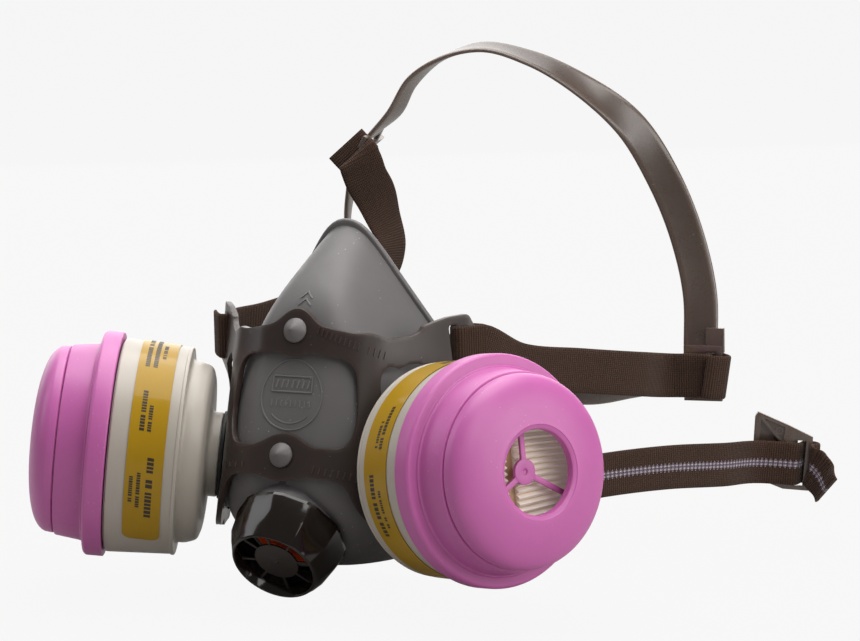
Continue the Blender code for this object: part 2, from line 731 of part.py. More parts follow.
def make_exhalation_valve():
    frame = guard_frame()
    hood = -HOOD_DROP
    profile = [(SEAT_BORE_R, hood - 6.4), (16.0, hood - 6.4), (16.0, hood - 4.9), (SEAT_TUBE_R, hood - 4.9),
               (SEAT_TUBE_R, hood + GAP), (17.6, hood + GAP), (17.6, hood + GAP + 1.2),
               (SEAT_TUBE_R, hood + GAP + 1.2), (SEAT_TUBE_R - 0.4, 2.6), (SEAT_BORE_R, 2.6)]
    seat = turned("exhalation_seat", profile, frame, "port_plastic", 28)
    hub = disc("hub", 2.6, 0.2, 2.3, frame, "port_plastic", 12)
    add_spokes(hub, 4, 1.7, SEAT_BORE_R + 0.7, 1.4, 0.4, 2.1, frame, "port_plastic", 45.0)
    boolean(seat, hub, "UNION")
    edge = SEAT_BORE_R + 1.5
    flap = [(0.0, 2.9), (edge, 2.9), (edge, 3.6), (3.0, 3.8), (2.2, 5.2), (0.0, 5.4)]
    turned("exhalation_valve", flap, frame, "valve_red", 28)


# ------------------------------------------------------------------ harness
def tangents(values, spans):
    """Slope at each value, weighted by the spans on its two sides."""
    slopes = [(b - a) / span for a, b, span in zip(values, values[1:], spans)]
    inner = [(first * after + second * before) / (before + after)
             for first, second, before, after in zip(slopes, slopes[1:], spans, spans[1:])]
    return slopes[:1] + inner + slopes[-1:]


def spline(values, spans, samples):
    """Smooth samples through values that lie the given spans apart."""
    slopes = tangents(values, spans)
    result = []
    for i, span in enumerate(spans):
        for n in range(samples):
            t = n / samples
            u = 1.0 - t
            result.append(values[i] * (u * u * (1 + 2 * t)) + slopes[i] * (span * t * u * u)
                          + values[i + 1] * (t * t * (3 - 2 * t)) - slopes[i + 1] * (span * t * t * u))
    return result + [values[-1]]


def ribbon(name, route, width, thickness, samples, mat_name):
    """A flat strip along (point, width direction) stations."""
    stops = [Vector(p) for p, _ in route]
    spans = [(b - a).length for a, b in zip(stops, stops[1:])]
    points = spline(stops, spans, samples)
    across = spline([Vector(w).normalized() for _, w in route], spans, samples)
    verts = []
    count = len(points)
    for i in range(count):
        along = (points[min(i + 1, count - 1)] - points[max(i - 1, 0)]).normalized()
        side = (across[i] - along * across[i].dot(along)).normalized()
        normal = along.cross(side)
        for s, t in ((-1, -1), (1, -1), (1, 1), (-1, 1)):
            verts.append(points[i] + side * (s * width / 2) + normal * (t * thickness / 2))
    faces = [(3, 2, 1, 0), tuple(range(4 * count - 4, 4 * count))]
    for i in range(count - 1):
        for k in range(4):
            m = (k + 1) % 4
            faces.append((4 * i + k, 4 * i + m, 4 * i + 4 + m, 4 * i + 4 + k))
    return add_piece(name, verts, faces, mat_name, smooth_angle=50)


def plate_frame(middle, along, up):
    """Frame with +X along a plate, +Y up it and +Z out of its face."""
    x_dir = Vector(along).normalized()
    z_dir = x_dir.cross(Vector(up)).normalized()
    y_dir = z_dir.cross(x_dir)
    turn = Matrix((x_dir, y_dir, z_dir)).transposed()
    return Matrix.Translation(Vector(middle)) @ turn.to_4x4()


def slot_frame(side, height):
    """Frame of a yoke slot: +X towards the arm's end, +Z away from the face."""
    lift = YOKE_GAP + YOKE_THICKNESS / 2
    mirror = Vector((side, 1.0, 1.0))
    here = former_point(SLOT_U, height, lift)
    ahead = former_point(SLOT_U + 3.0, height, lift)
    frame = plate_frame(here * mirror, (ahead - here) * mirror, (0.0, 0.0, 1.0))
    if side < 0:
        frame = frame @ Matrix.Rotation(math.pi, 4, "X")
    return frame


def stations(frame, spots):
    """World stations from (along, out) spots in a plate's frame."""
    across = frame.to_3x3().col[1]
    if across.z < 0:
        across = -across
    return [(frame @ Vector((a, 0.0, b)), across) for a, b in spots]


LOOP_RISE = YOKE_THICKNESS / 2 + 0.9 + STRAP_THICKNESS / 2
SECOND_SLOT = -6.8
PLATE_END = 4.2
# (along, out) of a slotted plate, from a sewn tail, round the end bar and back.
END_LOOP = ((12.5, 2.8), (8.6, LOOP_RISE + 0.5), (5.0, LOOP_RISE + 0.5), (1.2, LOOP_RISE), (0.0, 0.0),
            (1.2, -LOOP_RISE), (4.5, -LOOP_RISE - 0.4), (9.0, -LOOP_RISE - 0.4))
# From a strap lying on the plate, through its slot, round the end bar to a free tail.
FOLD_LOOP = ((-15.0, LOOP_RISE + 1.6), (-8.0, LOOP_RISE + 0.7), (-1.5, LOOP_RISE), (0.0, 0.0),
             (1.2, -LOOP_RISE + 0.1), (3.6, -LOOP_RISE - 0.2), (6.6, -1.0), (6.6, 1.0),
             (4.2, LOOP_RISE + 0.9), (-1.0, 2 * LOOP_RISE + 0.3), (-8.0, 2 * LOOP_RISE + 0.5))
# Over a plate's end bar, then in and out of its two slots to a free tail.
LADDER_LOOP = ((8.4, 5.2), (6.6, 2.2), (6.1, -0.4), (4.2, -LOOP_RISE), (1.5, -LOOP_RISE + 0.1), (0.0, 0.0),
               (-1.5, LOOP_RISE - 0.1), (-3.4, LOOP_RISE + 0.2), (-5.3, LOOP_RISE - 0.1),
               (SECOND_SLOT, 0.0), (-8.2, -LOOP_RISE), (-10.0, -LOOP_RISE - 2.5), (-10.8, -9.5))

CRADLE_RIGHT = plate_frame((109.4, 85.8, -0.8), (0.98, 0.16, 0.0), (0.0, 0.0, 1.0))
CRADLE_LEFT = plate_frame((-23.6, 48.1, 86.1), (-0.50, 0.0, -0.87), (0.07, 0.88, 0.43))
BUCKLE_HOOK = plate_frame((130.0, 126.5, -42.0), (0.90, 0.42, -0.10), (0.08, 0.0, 0.99))
BUCKLE_EYE = plate_frame((2.0, 88.0, -44.0), (0.66, 0.75, -0.06), (0.0, 0.0, 1.0))


def slot_cutter(frame, mat_name):
    """The block that cuts a strap slot at a plate frame's origin."""
    low = (-SLOT_HALF_WIDTH, -SLOT_HALF, -CUT_REACH)
    high = (SLOT_HALF_WIDTH, SLOT_HALF, CUT_REACH)
    return box("slot", low, high, frame, mat_name)


def slotted_plate(name, frame, low, high, mat_name):
    """A flat plate with a strap slot at its origin."""
    piece = box(name, (low[0], low[1], -1.0), (high[0], high[1], 1.0), frame, mat_name)
    boolean(piece, slot_cutter(frame, mat_name), "DIFFERENCE")
    return piece


def plate_station(frame, along, up, width_axis):
    """A ribbon station lying in a plate, its width along the plate's X or Y."""
    return frame @ Vector((along, up, 0.0)), frame.to_3x3().col[width_axis]


def make_cradle():
    crown = [plate_station(CRADLE_RIGHT, -4.5, 8.0, 0),
             ((103.5, 89.0, 30.0), (0.90, 0.43, 0.10)), ((97.6, 91.0, 52.5), (0.82, 0.47, 0.32)),
             ((88.5, 89.7, 75.5), (0.76, 0.49, 0.43)), ((76.0, 85.8, 97.0), (0.46, 0.70, 0.54)),
             ((57.9, 78.5, 113.4), (-0.01, 0.89, 0.46)), ((40.0, 70.4, 124.0), (-0.26, 0.92, 0.29)),
             ((22.1, 63.0, 128.6), (-0.45, 0.88, 0.11)), ((8.5, 57.3, 124.6), (-0.44, 0.88, -0.12)),
             ((-3.0, 52.2, 115.2), (-0.22, 0.92, -0.28)), ((-9.6, 49.8, 103.4), (-0.06, 0.95, -0.12)),
             plate_station(CRADLE_LEFT, -10.0, 0.0, 1)]
    back = [plate_station(CRADLE_LEFT, -4.5, 16.2, 1),
            ((-27.5, 64.0, 84.0), (0.1, 0.8, 0.4)), ((-34.0, 68.0, 70.0), (-0.2, 0.90, 0.12)),
            ((-39.5, 74.0, 52.0), (-0.40, 0.88, 0.10)), ((-41.0, 89.0, 26.0), (-0.30, 0.70, 0.60)),
            ((-28.0, 112.0, 2.0), (-0.10, 0.45, 0.88)), ((-5.0, 129.0, -12.0), (0.0, 0.25, 0.97)),
            ((27.7, 134.1, -18.6), (0.0, 0.12, 0.99)), ((61.7, 119.6, -11.4), (0.06, 0.10, 0.99)),
            ((85.8, 101.6, -4.0), (0.06, 0.05, 0.99)), plate_station(CRADLE_RIGHT, -9.4, 2.0, 1)]
    cradle = ribbon("head_cradle", crown, BAND_WIDTH, BAND_THICKNESS, 3, "cradle_plastic")
    boolean(cradle, ribbon("back", back, BAND_WIDTH, BAND_THICKNESS, 3, "cradle_plastic"), "UNION")
    for frame in (CRADLE_RIGHT, CRADLE_LEFT):
        plate = box("plate", (-11.0, -11.2, -1.0), (PLATE_END, 11.6, 1.0), frame, "cradle_plastic")
        boolean(cradle, plate, "UNION")
        boolean(cradle, slot_cutter(frame, "cradle_plastic"), "DIFFERENCE")
    second = CRADLE_LEFT @ Matrix.Translation((SECOND_SLOT, 0.0, 0.0))
    boolean(cradle, slot_cutter(second, "cradle_plastic"), "DIFFERENCE")


def make_upper_straps():
    up = (0.0, 0.0, 1.0)
    right = stations(slot_frame(1, UPPER_ARM_Z), END_LOOP)
    right += [((61.6, 12.0, 11.8), up), ((75.1, 36.6, 6.8), up), ((89.5, 61.7, 2.2), (0.03, 0.0, 1.0))]
    right += stations(CRADLE_RIGHT, FOLD_LOOP)
    ribbon("upper_strap_R", right, STRAP_WIDTH, STRAP_THICKNESS, 3, "elastic_web")
    left = stations(slot_frame(-1, UPPER_ARM_Z), END_LOOP)
    left += [((-50.0, 12.0, 22.5), up), ((-39.0, 31.0, 26.0), (0.0, 0.3, 0.95)),
             ((-25.0, 42.0, 31.0), (0.0, 0.75, 0.66)), ((-14.1, 47.0, 38.7), (0.06, 0.97, -0.10)),
             ((-11.4, 48.5, 50.0), (0.16, 0.97, -0.06)), ((-14.5, 48.0, 63.0), (0.26, 0.95, 0.18)),
             ((-20.2, 46.2, 73.4), (0.33, 0.88, 0.30))]
    left += stations(CRADLE_LEFT, LADDER_LOOP)
    ribbon("upper_strap_L", left, STRAP_WIDTH, STRAP_THICKNESS, 3, "elastic_web")


def prism(name, outline, depth, frame, mat_name):
    """Extrude a flat outline of (x, y) points both ways along the frame's Z."""
    count = len(outline)
    verts = [frame @ Vector((x, y, z)) for z in (-depth, depth) for x, y in outline]
    faces = [tuple(range(count)), tuple(range(2 * count - 1, count - 1, -1))]
    faces += [(i, (i + 1) % count, (i + 1) % count + count, i + count) for i in range(count)]
    return add_piece(name, verts, faces, mat_name, frame.to_translation())


def make_buckles():
    outline = [(PLATE_END, -11.0), (PLATE_END, 11.0), (-5.6, 15.0), (-18.6, 19.6), (-19.6, 17.6),
               (-19.0, -7.0), (-6.0, -11.0)]
    hook = prism("neck_buckle_hook", outline, 1.0, BUCKLE_HOOK, "cradle_plastic")
    gap = [(-7.4, 6.6), (-17.2, 16.6), (-17.2, -4.0), (-7.4, -7.6)]
    boolean(hook, prism("opening", gap, 4.0, BUCKLE_HOOK, "cradle_plastic"), "DIFFERENCE")
    boolean(hook, slot_cutter(BUCKLE_HOOK, "cradle_plastic"), "DIFFERENCE")
    eye = slotted_plate("neck_buckle_eye", BUCKLE_EYE, (-4.6, -12.4), (17.0, 12.4), "cradle_plastic")
    window = box("window", (5.4, -8.4, -5.0), (13.4, 8.4, 5.0), BUCKLE_EYE, "cradle_plastic")
    boolean(eye, window, "DIFFERENCE")


def make_neck_straps():
    up = (0.0, 0.0, 1.0)
    right = stations(slot_frame(1, LOWER_ARM_Z), END_LOOP)
    right += [((70.0, 16.0, -35.0), up), ((84.0, 38.0, -34.0), up), ((99.0, 66.0, -35.0), up),
              ((111.0, 93.0, -38.0), up)]
    right += stations(BUCKLE_HOOK, FOLD_LOOP[:9])
    right += [(BUCKLE_HOOK @ Vector((9.0, -1.0, 6.0)), (0.1, 0.0, 0.99)),
              (BUCKLE_HOOK @ Vector((12.0, -4.0, 11.0)), (0.15, -0.1, 0.98))]
    ribbon("neck_strap_R", right, STRAP_WIDTH, STRAP_THICKNESS, 3, "elastic_web")
    left = stations(slot_frame(-1, LOWER_ARM_Z), END_LOOP)
    left += [((-50.0, 20.0, -38.0), up), ((-36.0, 45.0, -40.0), up)]
    tail = plate_frame(BUCKLE_EYE.to_translation(), -BUCKLE_EYE.to_3x3().col[0], up)
    left += stations(tail, tuple(reversed(END_LOOP[1:])))
    ribbon("neck_strap_L", left, STRAP_WIDTH, STRAP_THICKNESS, 3, "elastic_web")


def main():
    clear_scene()
    for side, tag in ((1, "R"), (-1, "L")):
        make_cartridge(side, tag)
        make_inhalation_port(side, tag)
    make_facepiece()
    make_yoke()
    make_exhalation_valve()
    make_valve_guard()
    make_cradle()
    make_upper_straps()
    make_buckles()
    make_neck_straps()


main()
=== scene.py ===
"""The looks of the half-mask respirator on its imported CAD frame.

Lengths are millimetres until a mesh is made.  +Z is up, the mask faces -Y and
+X is the wearer's left.  Pieces that are too coarse in the CAD are made again
here, finer, in the same places, and every piece gets a procedural material.
"""

import math
import random
from collections import Counter

import bmesh
import bpy
import numpy as np
from mathutils import Matrix, Vector


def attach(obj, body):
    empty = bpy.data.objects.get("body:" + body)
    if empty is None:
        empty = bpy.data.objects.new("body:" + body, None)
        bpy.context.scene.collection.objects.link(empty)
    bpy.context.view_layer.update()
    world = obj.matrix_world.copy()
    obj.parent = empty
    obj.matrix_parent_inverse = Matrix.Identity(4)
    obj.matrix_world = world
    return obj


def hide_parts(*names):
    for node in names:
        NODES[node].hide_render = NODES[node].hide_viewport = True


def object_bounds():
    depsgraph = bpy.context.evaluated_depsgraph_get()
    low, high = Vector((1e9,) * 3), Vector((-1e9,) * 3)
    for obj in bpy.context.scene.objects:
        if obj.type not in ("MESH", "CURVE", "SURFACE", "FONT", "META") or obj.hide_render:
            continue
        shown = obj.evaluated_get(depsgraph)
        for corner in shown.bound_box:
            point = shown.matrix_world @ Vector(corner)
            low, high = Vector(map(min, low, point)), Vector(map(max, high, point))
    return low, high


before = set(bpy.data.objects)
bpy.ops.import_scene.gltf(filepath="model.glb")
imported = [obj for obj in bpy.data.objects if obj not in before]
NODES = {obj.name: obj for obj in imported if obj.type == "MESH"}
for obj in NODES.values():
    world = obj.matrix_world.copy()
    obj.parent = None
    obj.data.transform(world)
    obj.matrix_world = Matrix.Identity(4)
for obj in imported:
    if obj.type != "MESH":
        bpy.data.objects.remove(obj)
CAD_LOW, CAD_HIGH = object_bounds()

MM = 0.001
UP = (0.0, 0.0, 1.0)


# ================================================================ materials
# The Mix node's colour sockets, whose names it also gives to its other kinds.
MIX_FIRST = 6
MIX_SECOND = 7
MIX_RESULT = 2
DUST_COLOUR = (0.8, 0.8, 0.78, 1.0)


def add_node(tree, kind, **settings):
    node = tree.nodes.new(kind)
    for key, value in settings.items():
        setattr(node, key, value)
    return node


def feed(tree, socket, value):
    """Link a socket or set a plain value."""
    if hasattr(value, "links"):
        tree.links.new(value, socket)
    else:
        socket.default_value = value


def maths(tree, operation, first, second=0.0):
    node = add_node(tree, "ShaderNodeMath", operation=operation)
    feed(tree, node.inputs[0], first)
    feed(tree, node.inputs[1], second)
    return node.outputs[0]


def times(tree, first, second):
    return maths(tree, "MULTIPLY", first, second)


def mixed(tree, share, first, second):
    """Colour mix by a share socket."""
    node = add_node(tree, "ShaderNodeMix", data_type="RGBA")
    feed(tree, node.inputs["Factor"], share)
    feed(tree, node.inputs[MIX_FIRST], first)
    feed(tree, node.inputs[MIX_SECOND], second)
    return node.outputs[MIX_RESULT]


def texture(tree, kind, scale):
    """A texture in the piece's own coordinates; scale is in features per metre."""
    place = add_node(tree, "ShaderNodeTexCoord")
    node = add_node(tree, kind)
    node.inputs["Scale"].default_value = scale
    tree.links.new(place.outputs["Object"], node.inputs["Vector"])
    return node


def noise(tree, scale, detail=3.0, roughness=0.55):
    node = texture(tree, "ShaderNodeTexNoise", scale)
    node.inputs["Detail"].default_value = detail
    node.inputs["Roughness"].default_value = roughness
    return node.outputs["Fac"]


def cell_distance(tree, scale):
    return texture(tree, "ShaderNodeTexVoronoi", scale).outputs["Distance"]


def speckle(tree, scale, size):
    """Sparse small dots: 1 on a dot and 0 elsewhere."""
    near = maths(tree, "LESS_THAN", cell_distance(tree, scale), size)
    patch = maths(tree, "GREATER_THAN", noise(tree, scale * 0.13, 1.0), 0.56)
    return times(tree, near, patch)


def ramp(tree, value, low, high):
    node = add_node(tree, "ShaderNodeMapRange")
    feed(tree, node.inputs["Value"], value)
    node.inputs["To Min"].default_value = low
    node.inputs["To Max"].default_value = high
    return node.outputs["Result"]


def finish_material(tree, shader, tint, height, depth_mm):
    """Link a material's colour and its bump."""
    tree.links.new(tint, shader.inputs["Base Color"])
    node = add_node(tree, "ShaderNodeBump")
    node.inputs["Distance"].default_value = depth_mm * MM
    tree.links.new(height, node.inputs["Height"])
    tree.links.new(node.outputs["Normal"], shader.inputs["Normal"])


def shade(colour, gain):
    return (colour[0] * gain, colour[1] * gain, colour[2] * gain, 1.0)


def start_material(name, **constants):
    """A material whose Principled sockets hold the given constants."""
    mat = bpy.data.materials.new(name)
    mat.use_nodes = True
    shader = mat.node_tree.nodes["Principled BSDF"]
    for key, value in constants.items():
        shader.inputs[key.replace("_", " ")].default_value = value
    return mat, mat.node_tree, shader


def moulded(name, colour, roughness, grain=0.02, grain_scale=2600.0, mottle=0.10,
            dust=0.0, edge_highlight=0.0, **constants):
    """Moulded plastic or rubber: mottled colour, uneven gloss, grain, dust and a painted highlight on
    convex edges.
    """
    mat, tree, shader = start_material(name, **constants)
    cloud = ramp(tree, noise(tree, 45.0, 4.0), -0.3, 1.3)
    tint = mixed(tree, cloud, shade(colour, 1.0 - mottle), shade(colour, 1.0 + mottle))
    if dust:
        tint = mixed(tree, times(tree, speckle(tree, 420.0, 0.11), dust), tint, DUST_COLOUR)
    if edge_highlight:
        # Convex edges, found by pointiness, are lightened up to 2.6 times: a painted highlight along the
        # edges.
        edge = add_node(tree, "ShaderNodeNewGeometry").outputs["Pointiness"]
        edge_glint = times(tree, ramp(tree, edge, -6.2, 6.4), edge_highlight)
        edge_glint = maths(tree, "MINIMUM", maths(tree, "MAXIMUM", edge_glint, 0.0), edge_highlight)
        tint = mixed(tree, edge_glint, tint, shade(colour, 2.6))
    streaks = noise(tree, 160.0, 5.0, 0.7)
    gloss = ramp(tree, streaks, roughness * 0.75, roughness * 1.3)
    tree.links.new(gloss, shader.inputs["Roughness"])
    height = maths(tree, "ADD", noise(tree, grain_scale, 2.0), times(tree, streaks, 0.5))
    finish_material(tree, shader, tint, height, grain)
    return mat


def strip_value(tree, name):
    """A number that store() kept at each point of the mesh."""
    return add_node(tree, "ShaderNodeAttribute", attribute_name=name).outputs["Fac"]


def wave(tree, value, pitch):
    """Triangle wave from 0 to 1 with the given pitch."""
    return maths(tree, "PINGPONG", times(tree, value, 2.0 / pitch), 1.0)


def webbing(name, colour, rib_pitch, thread_pitch, stripe=None):
    """Ribbed elastic webbing; a stripe is its colour, half width and stitch pitch."""
    mat, tree, shader = start_material(name, Roughness=0.92, Specular_IOR_Level=0.15,
                                       Sheen_Weight=0.05, Sheen_Roughness=0.5)
    along = strip_value(tree, "along")
    across = strip_value(tree, "across")
    rib = wave(tree, along, rib_pitch)
    thread = wave(tree, across, thread_pitch)
    height = maths(tree, "ADD", rib, times(tree, thread, 0.5))
    height = maths(tree, "ADD", height, times(tree, noise(tree, 1900.0, 3.0), 0.7))
    weave = times(tree, rib, ramp(tree, thread, 0.55, 1.0))
    tint = mixed(tree, weave, shade(colour, 0.50), shade(colour, 1.55))
    tint = mixed(tree, ramp(tree, noise(tree, 90.0, 3.0), -0.2, 0.6), tint, shade(colour, 1.25))
    if stripe:
        stripe_colour, half, stitch = stripe
        zigzag = wave(tree, along, stitch)
        reach = maths(tree, "ADD", half - 0.5, zigzag)
        inside = maths(tree, "LESS_THAN", maths(tree, "ABSOLUTE", across), reach)
        knit = times(tree, zigzag, wave(tree, across, 1.3))
        thread_tint = mixed(tree, knit, shade(stripe_colour, 0.20), shade(stripe_colour, 1.7))
        tint = mixed(tree, inside, tint, thread_tint)
    finish_material(tree, shader, tint, height, 0.22)
    return mat


def paper(name, colour, valley_shade):
    """Pleated filter paper: fibrous, with painted shade that darkens it towards a tan in its valleys, and a
    faint painted glow.
    """
    # A faint emission in the paper's own colour: a painted glow that brightens the pleats.
    mat, tree, shader = start_material(name, Roughness=0.95, Emission_Strength=0.06,
                                       Emission_Color=shade(colour, 1.0))
    depth = maths(tree, "POWER", strip_value(tree, "depth"), 0.8)
    fibre = noise(tree, 1400.0, 6.0, 0.7)
    # Mixed towards the darker tan where the crest share falls: painted shade in the pleats' hollows.
    fibre_and_valley_shade = mixed(tree, depth, shade(valley_shade, 1.0), shade(colour, 1.0))
    fibre_and_valley_shade = mixed(tree, ramp(tree, fibre, -0.2, 0.5), fibre_and_valley_shade, shade(colour, 0.86))
    finish_material(tree, shader, fibre_and_valley_shade, fibre, 0.08)
    return mat


def granules(name, colour, scale):
    """Loose granules or a screen, seen only when a cartridge is cut open."""
    mat, tree, shader = start_material(name, Roughness=0.95)
    grain = cell_distance(tree, scale)
    tint = mixed(tree, grain, shade(colour, 0.6), shade(colour, 1.7))
    finish_material(tree, shader, tint, grain, 0.5)
    return mat


# In these materials the share that lightens convex edges paints a highlight along them.
RUBBER = moulded("face_rubber", (0.122, 0.115, 0.118), 0.50, 0.03, 1500.0, 0.08, dust=0.22, edge_highlight=0.25)
# A lighter copy of the face rubber for the raised studs: painted light.
STUD = moulded("stud_rubber", (0.135, 0.126, 0.127), 0.42, 0.03, 1500.0, 0.06)
YOKE = moulded("yoke_plastic", (0.027, 0.0180, 0.0155), 0.33, 0.03, 2200.0, 0.15, dust=0.12, edge_highlight=0.8)
PORT = moulded("port_plastic", (0.26, 0.26, 0.25), 0.42)
CANISTER = moulded("canister_grey", (0.44, 0.405, 0.355), 0.36, 0.02, 900.0, 0.03, edge_highlight=0.1)
PINK = moulded("filter_pink", (0.50, 0.118, 0.365), 0.38, 0.025, 1300.0, 0.05, dust=0.12, edge_highlight=0.12)
LABEL = moulded("label_gold", (0.40, 0.235, 0.009), 0.30, 0.02, 500.0, 0.06,
                Coat_Weight=0.30, Coat_Roughness=0.08, Specular_IOR_Level=0.12)
INK = moulded("label_ink", (0.030, 0.020, 0.008), 0.40)
# The second colour is the painted shade in the pleat valleys.
PAPER = paper("pleat_paper", (0.97, 0.91, 0.84), (0.62, 0.46, 0.33))
GLUE = moulded("pleat_glue", (0.50, 0.33, 0.18), 0.55, 0.1, 700.0, 0.2)
CHARCOAL = granules("charcoal", (0.03, 0.03, 0.03), 900.0)
SCREEN = granules("mesh_screen", (0.70, 0.70, 0.68), 1600.0)
SILICONE = moulded("valve_silicone", (0.75, 0.74, 0.70), 0.42)
RED = moulded("valve_red", (0.80, 0.085, 0.012), 0.38, 0.02, 1500.0, 0.06)
GUARD = moulded("guard_black", (0.008, 0.0052, 0.0040), 0.10, 0.008, 600.0, 0.2, edge_highlight=0.4)
GUARD_MATT = moulded("guard_matt", (0.022, 0.0165, 0.0145), 0.45, 0.02, 1200.0, 0.15)
CRADLE = moulded("cradle_plastic", (0.060, 0.041, 0.032), 0.28, 0.010, 900.0, 0.12,
                 dust=0.12, edge_highlight=0.5, Specular_IOR_Level=0.9)
SEAL = moulded("seal_rubber", (0.02, 0.02, 0.02), 0.6)
WEBBING = webbing("elastic_web", (0.056, 0.033, 0.0238), 0.95, 0.75)
NECK_WEB = webbing("neck_web", (0.052, 0.0295, 0.0208), 0.95, 0.75, ((0.36, 0.31, 0.37), 1.35, 2.0))


# ============================================================ making meshes
def add_object(name, data):
    thing = bpy.data.objects.new(name, data)
    bpy.context.scene.collection.objects.link(thing)
    return thing


def add_piece(name, verts, faces, mat, smooth_angle=38):
    """One closed mesh from world millimetres, with its faces outward."""
    mesh = bpy.data.meshes.new(name)
    mesh.from_pydata([Vector(v) * MM for v in verts], [], faces)
    work = bmesh.new()
    work.from_mesh(mesh)
    bmesh.ops.recalc_face_normals(work, faces=work.faces)
    if work.calc_volume(signed=True) < 0:
        bmesh.ops.reverse_faces(work, faces=work.faces)
    work.to_mesh(mesh)
    work.free()
    soften(mesh, smooth_angle)
    mesh.materials.append(mat)
    return add_object(name, mesh)


def soften(mesh, smooth_angle):
    mesh.shade_smooth()
    mesh.set_sharp_from_angle(angle=math.radians(smooth_angle))


def store(piece, name, values):
    """Keep one number per vertex for a material to read."""
    attribute = piece.data.attributes.new(name, "FLOAT", "POINT")
    attribute.data.foreach_set("value", values)


def baked(piece):
    """Apply the modifiers on a piece."""
    graph = bpy.context.evaluated_depsgraph_get()
    graph.update()
    result = bpy.data.meshes.new_from_object(piece.evaluated_get(graph))
    piece.modifiers.clear()
    piece.data = result


def boolean(piece, tool, operation):
    step = piece.modifiers.new(operation.lower(), "BOOLEAN")
    step.operation = operation
    step.solver = "EXACT"
    step.object = tool
    baked(piece)
    bpy.data.objects.remove(tool, do_unlink=True)


def bevel(piece, width, segments=2, angle=30, smooth_angle=38):
    """Round a piece's sharp edges so that they catch the light."""
    step = piece.modifiers.new("edges", "BEVEL")
    step.width = width * MM
    step.segments = segments
    step.angle_limit = math.radians(angle)
    baked(piece)
    soften(piece.data, smooth_angle)


def put(piece, body, *replaced):
    """The piece rides on a body and stands for CAD nodes."""
    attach(piece, body)
    if replaced:
        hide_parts(*replaced)
    return piece


def frame_of(origin, x_dir, y_dir, z_dir):
    return Matrix.Translation(Vector(origin)) @ Matrix((x_dir, y_dir, z_dir)).transposed().to_4x4()


def axis_frame(origin, axis):
    """Matrix whose +Z is the axis and whose +Y leans towards world up."""
    z_dir = Vector(axis).normalized()
    x_dir = Vector(UP).cross(z_dir).normalized()
    return frame_of(origin, x_dir, z_dir.cross(x_dir), z_dir)


def polar(place, radius, angle, height):
    return place @ Vector((radius * math.cos(angle), radius * math.sin(angle), height))


def spun(place, turn):
    """The frame turned about its own +Z."""
    return place @ Matrix.Rotation(turn, 4, "Z")


def rounded(profile, radius, steps=3):
    """Turn the corners of a closed (r, z) outline into small curves."""
    result = []
    for i, spot in enumerate(profile):
        here = Vector(spot)
        if here.x < 1e-6:
            result.append(here)
            continue
        before = Vector(profile[i - 1]) - here
        after = Vector(profile[(i + 1) % len(profile)]) - here
        reach = min(radius, before.length * 0.45, after.length * 0.45)
        first = here + before.normalized() * reach
        last = here + after.normalized() * reach
        for k in range(steps + 1):
            t = k / steps
            result.append(first * (1 - t) ** 2 + here * (2 * t * (1 - t)) + last * t ** 2)
    return result


def turned(name, profile, place, mat, segments=112, smooth_angle=38):
    """Turn a closed (r, z) outline about the frame's +Z."""
    verts = []
    rings = []
    for radius, height in profile:
        if radius < 1e-6:
            rings.append([len(verts)] * segments)
            verts.append(place @ Vector((0.0, 0.0, height)))
            continue
        rings.append(list(range(len(verts), len(verts) + segments)))
        for i in range(segments):
            verts.append(polar(place, radius, 2 * math.pi * i / segments, height))
    faces = []
    for first, second in zip(rings, rings[1:] + rings[:1]):
        for i in range(segments):
            j = (i + 1) % segments
            corners = [first[i], first[j], second[j], second[i]]
            face = [c for k, c in enumerate(corners) if c not in corners[:k]]
            if len(face) > 2:
                faces.append(face)
    return add_piece(name, verts, faces, mat, smooth_angle)


def sweep_faces(stations, size, closed=False, first=0):
    """Quads between loops of one size, with flat ends unless the last joins the first."""
    faces = []
    for i in range(stations if closed else stations - 1):
        near = first + size * i
        far = first + size * ((i + 1) % stations)
        for k in range(size):
            m = (k + 1) % size
            faces.append((near + k, near + m, far + m, far + k))
    if not closed:
        faces.append(tuple(range(first, first + size)))
        last = first + size * (stations - 1)
        faces.append(tuple(range(last + size - 1, last - 1, -1)))
    return faces


def prism(name, outline, low, high, place, mat):
    """Extrude a flat outline along the frame's Z from low to high."""
    verts = [place @ Vector((x, y, z)) for z in (low, high) for x, y in outline]
    return add_piece(name, verts, sweep_faces(2, len(outline)), mat)


def box(name, low, high, place, mat):
    outline = [(low[0], low[1]), (high[0], low[1]), (high[0], high[1]), (low[0], high[1])]
    return prism(name, outline, low[2], high[2], place, mat)


# ============================================================ the cartridges
GAP = 0.3
PORT_PLACE = (47.0, -40.0, -20.0)
PORT_SPLAY = math.radians(64.5)
PORT_RISE = math.radians(6.8)
NECK_BORE_R = 15.0
COLLAR_R = 35.0
COLLAR_END = 9.4
CANISTER_BACK_R = 39.9
CANISTER_FRONT_R = 41.25
CANISTER_END = 36.3
CANISTER_WALL = 1.3
FLANGE_START = CANISTER_END + GAP
FLANGE_R = 43.2
FLANGE_END = 44.1
STEP_BACK_R = 38.1
STEP_FRONT_R = 36.7
STEP_END = 55.8
DOME_START = STEP_END + GAP
DOME_RIM = 57.2
DOME_RIM_R = 36.0
DOME_HEIGHT = 10.7
DOME_POWER = 2.6
DOME_WALL = 2.2
WINDOW_R = 15.7
WINDOW_LIP_R = 17.6
MEDIA_R = 33.8
MEDIA_START = 40.0
MEDIA_TOP = 55.4
PLEAT_PITCH = 2.3
PLEAT_DEPTH = 2.4
WIDE_PACK = (-1.2, 27.0)
NARROW_PACK = (-27.0, -5.6)
SPIDER_START = 57.0
SPIDER_END = 58.6
LABEL_START = 14.5
LABEL_END = 28.6
LABEL_HALF_ANGLES = {"R": math.radians(162), "L": math.radians(139)}
LABEL_CORNER = 3.5
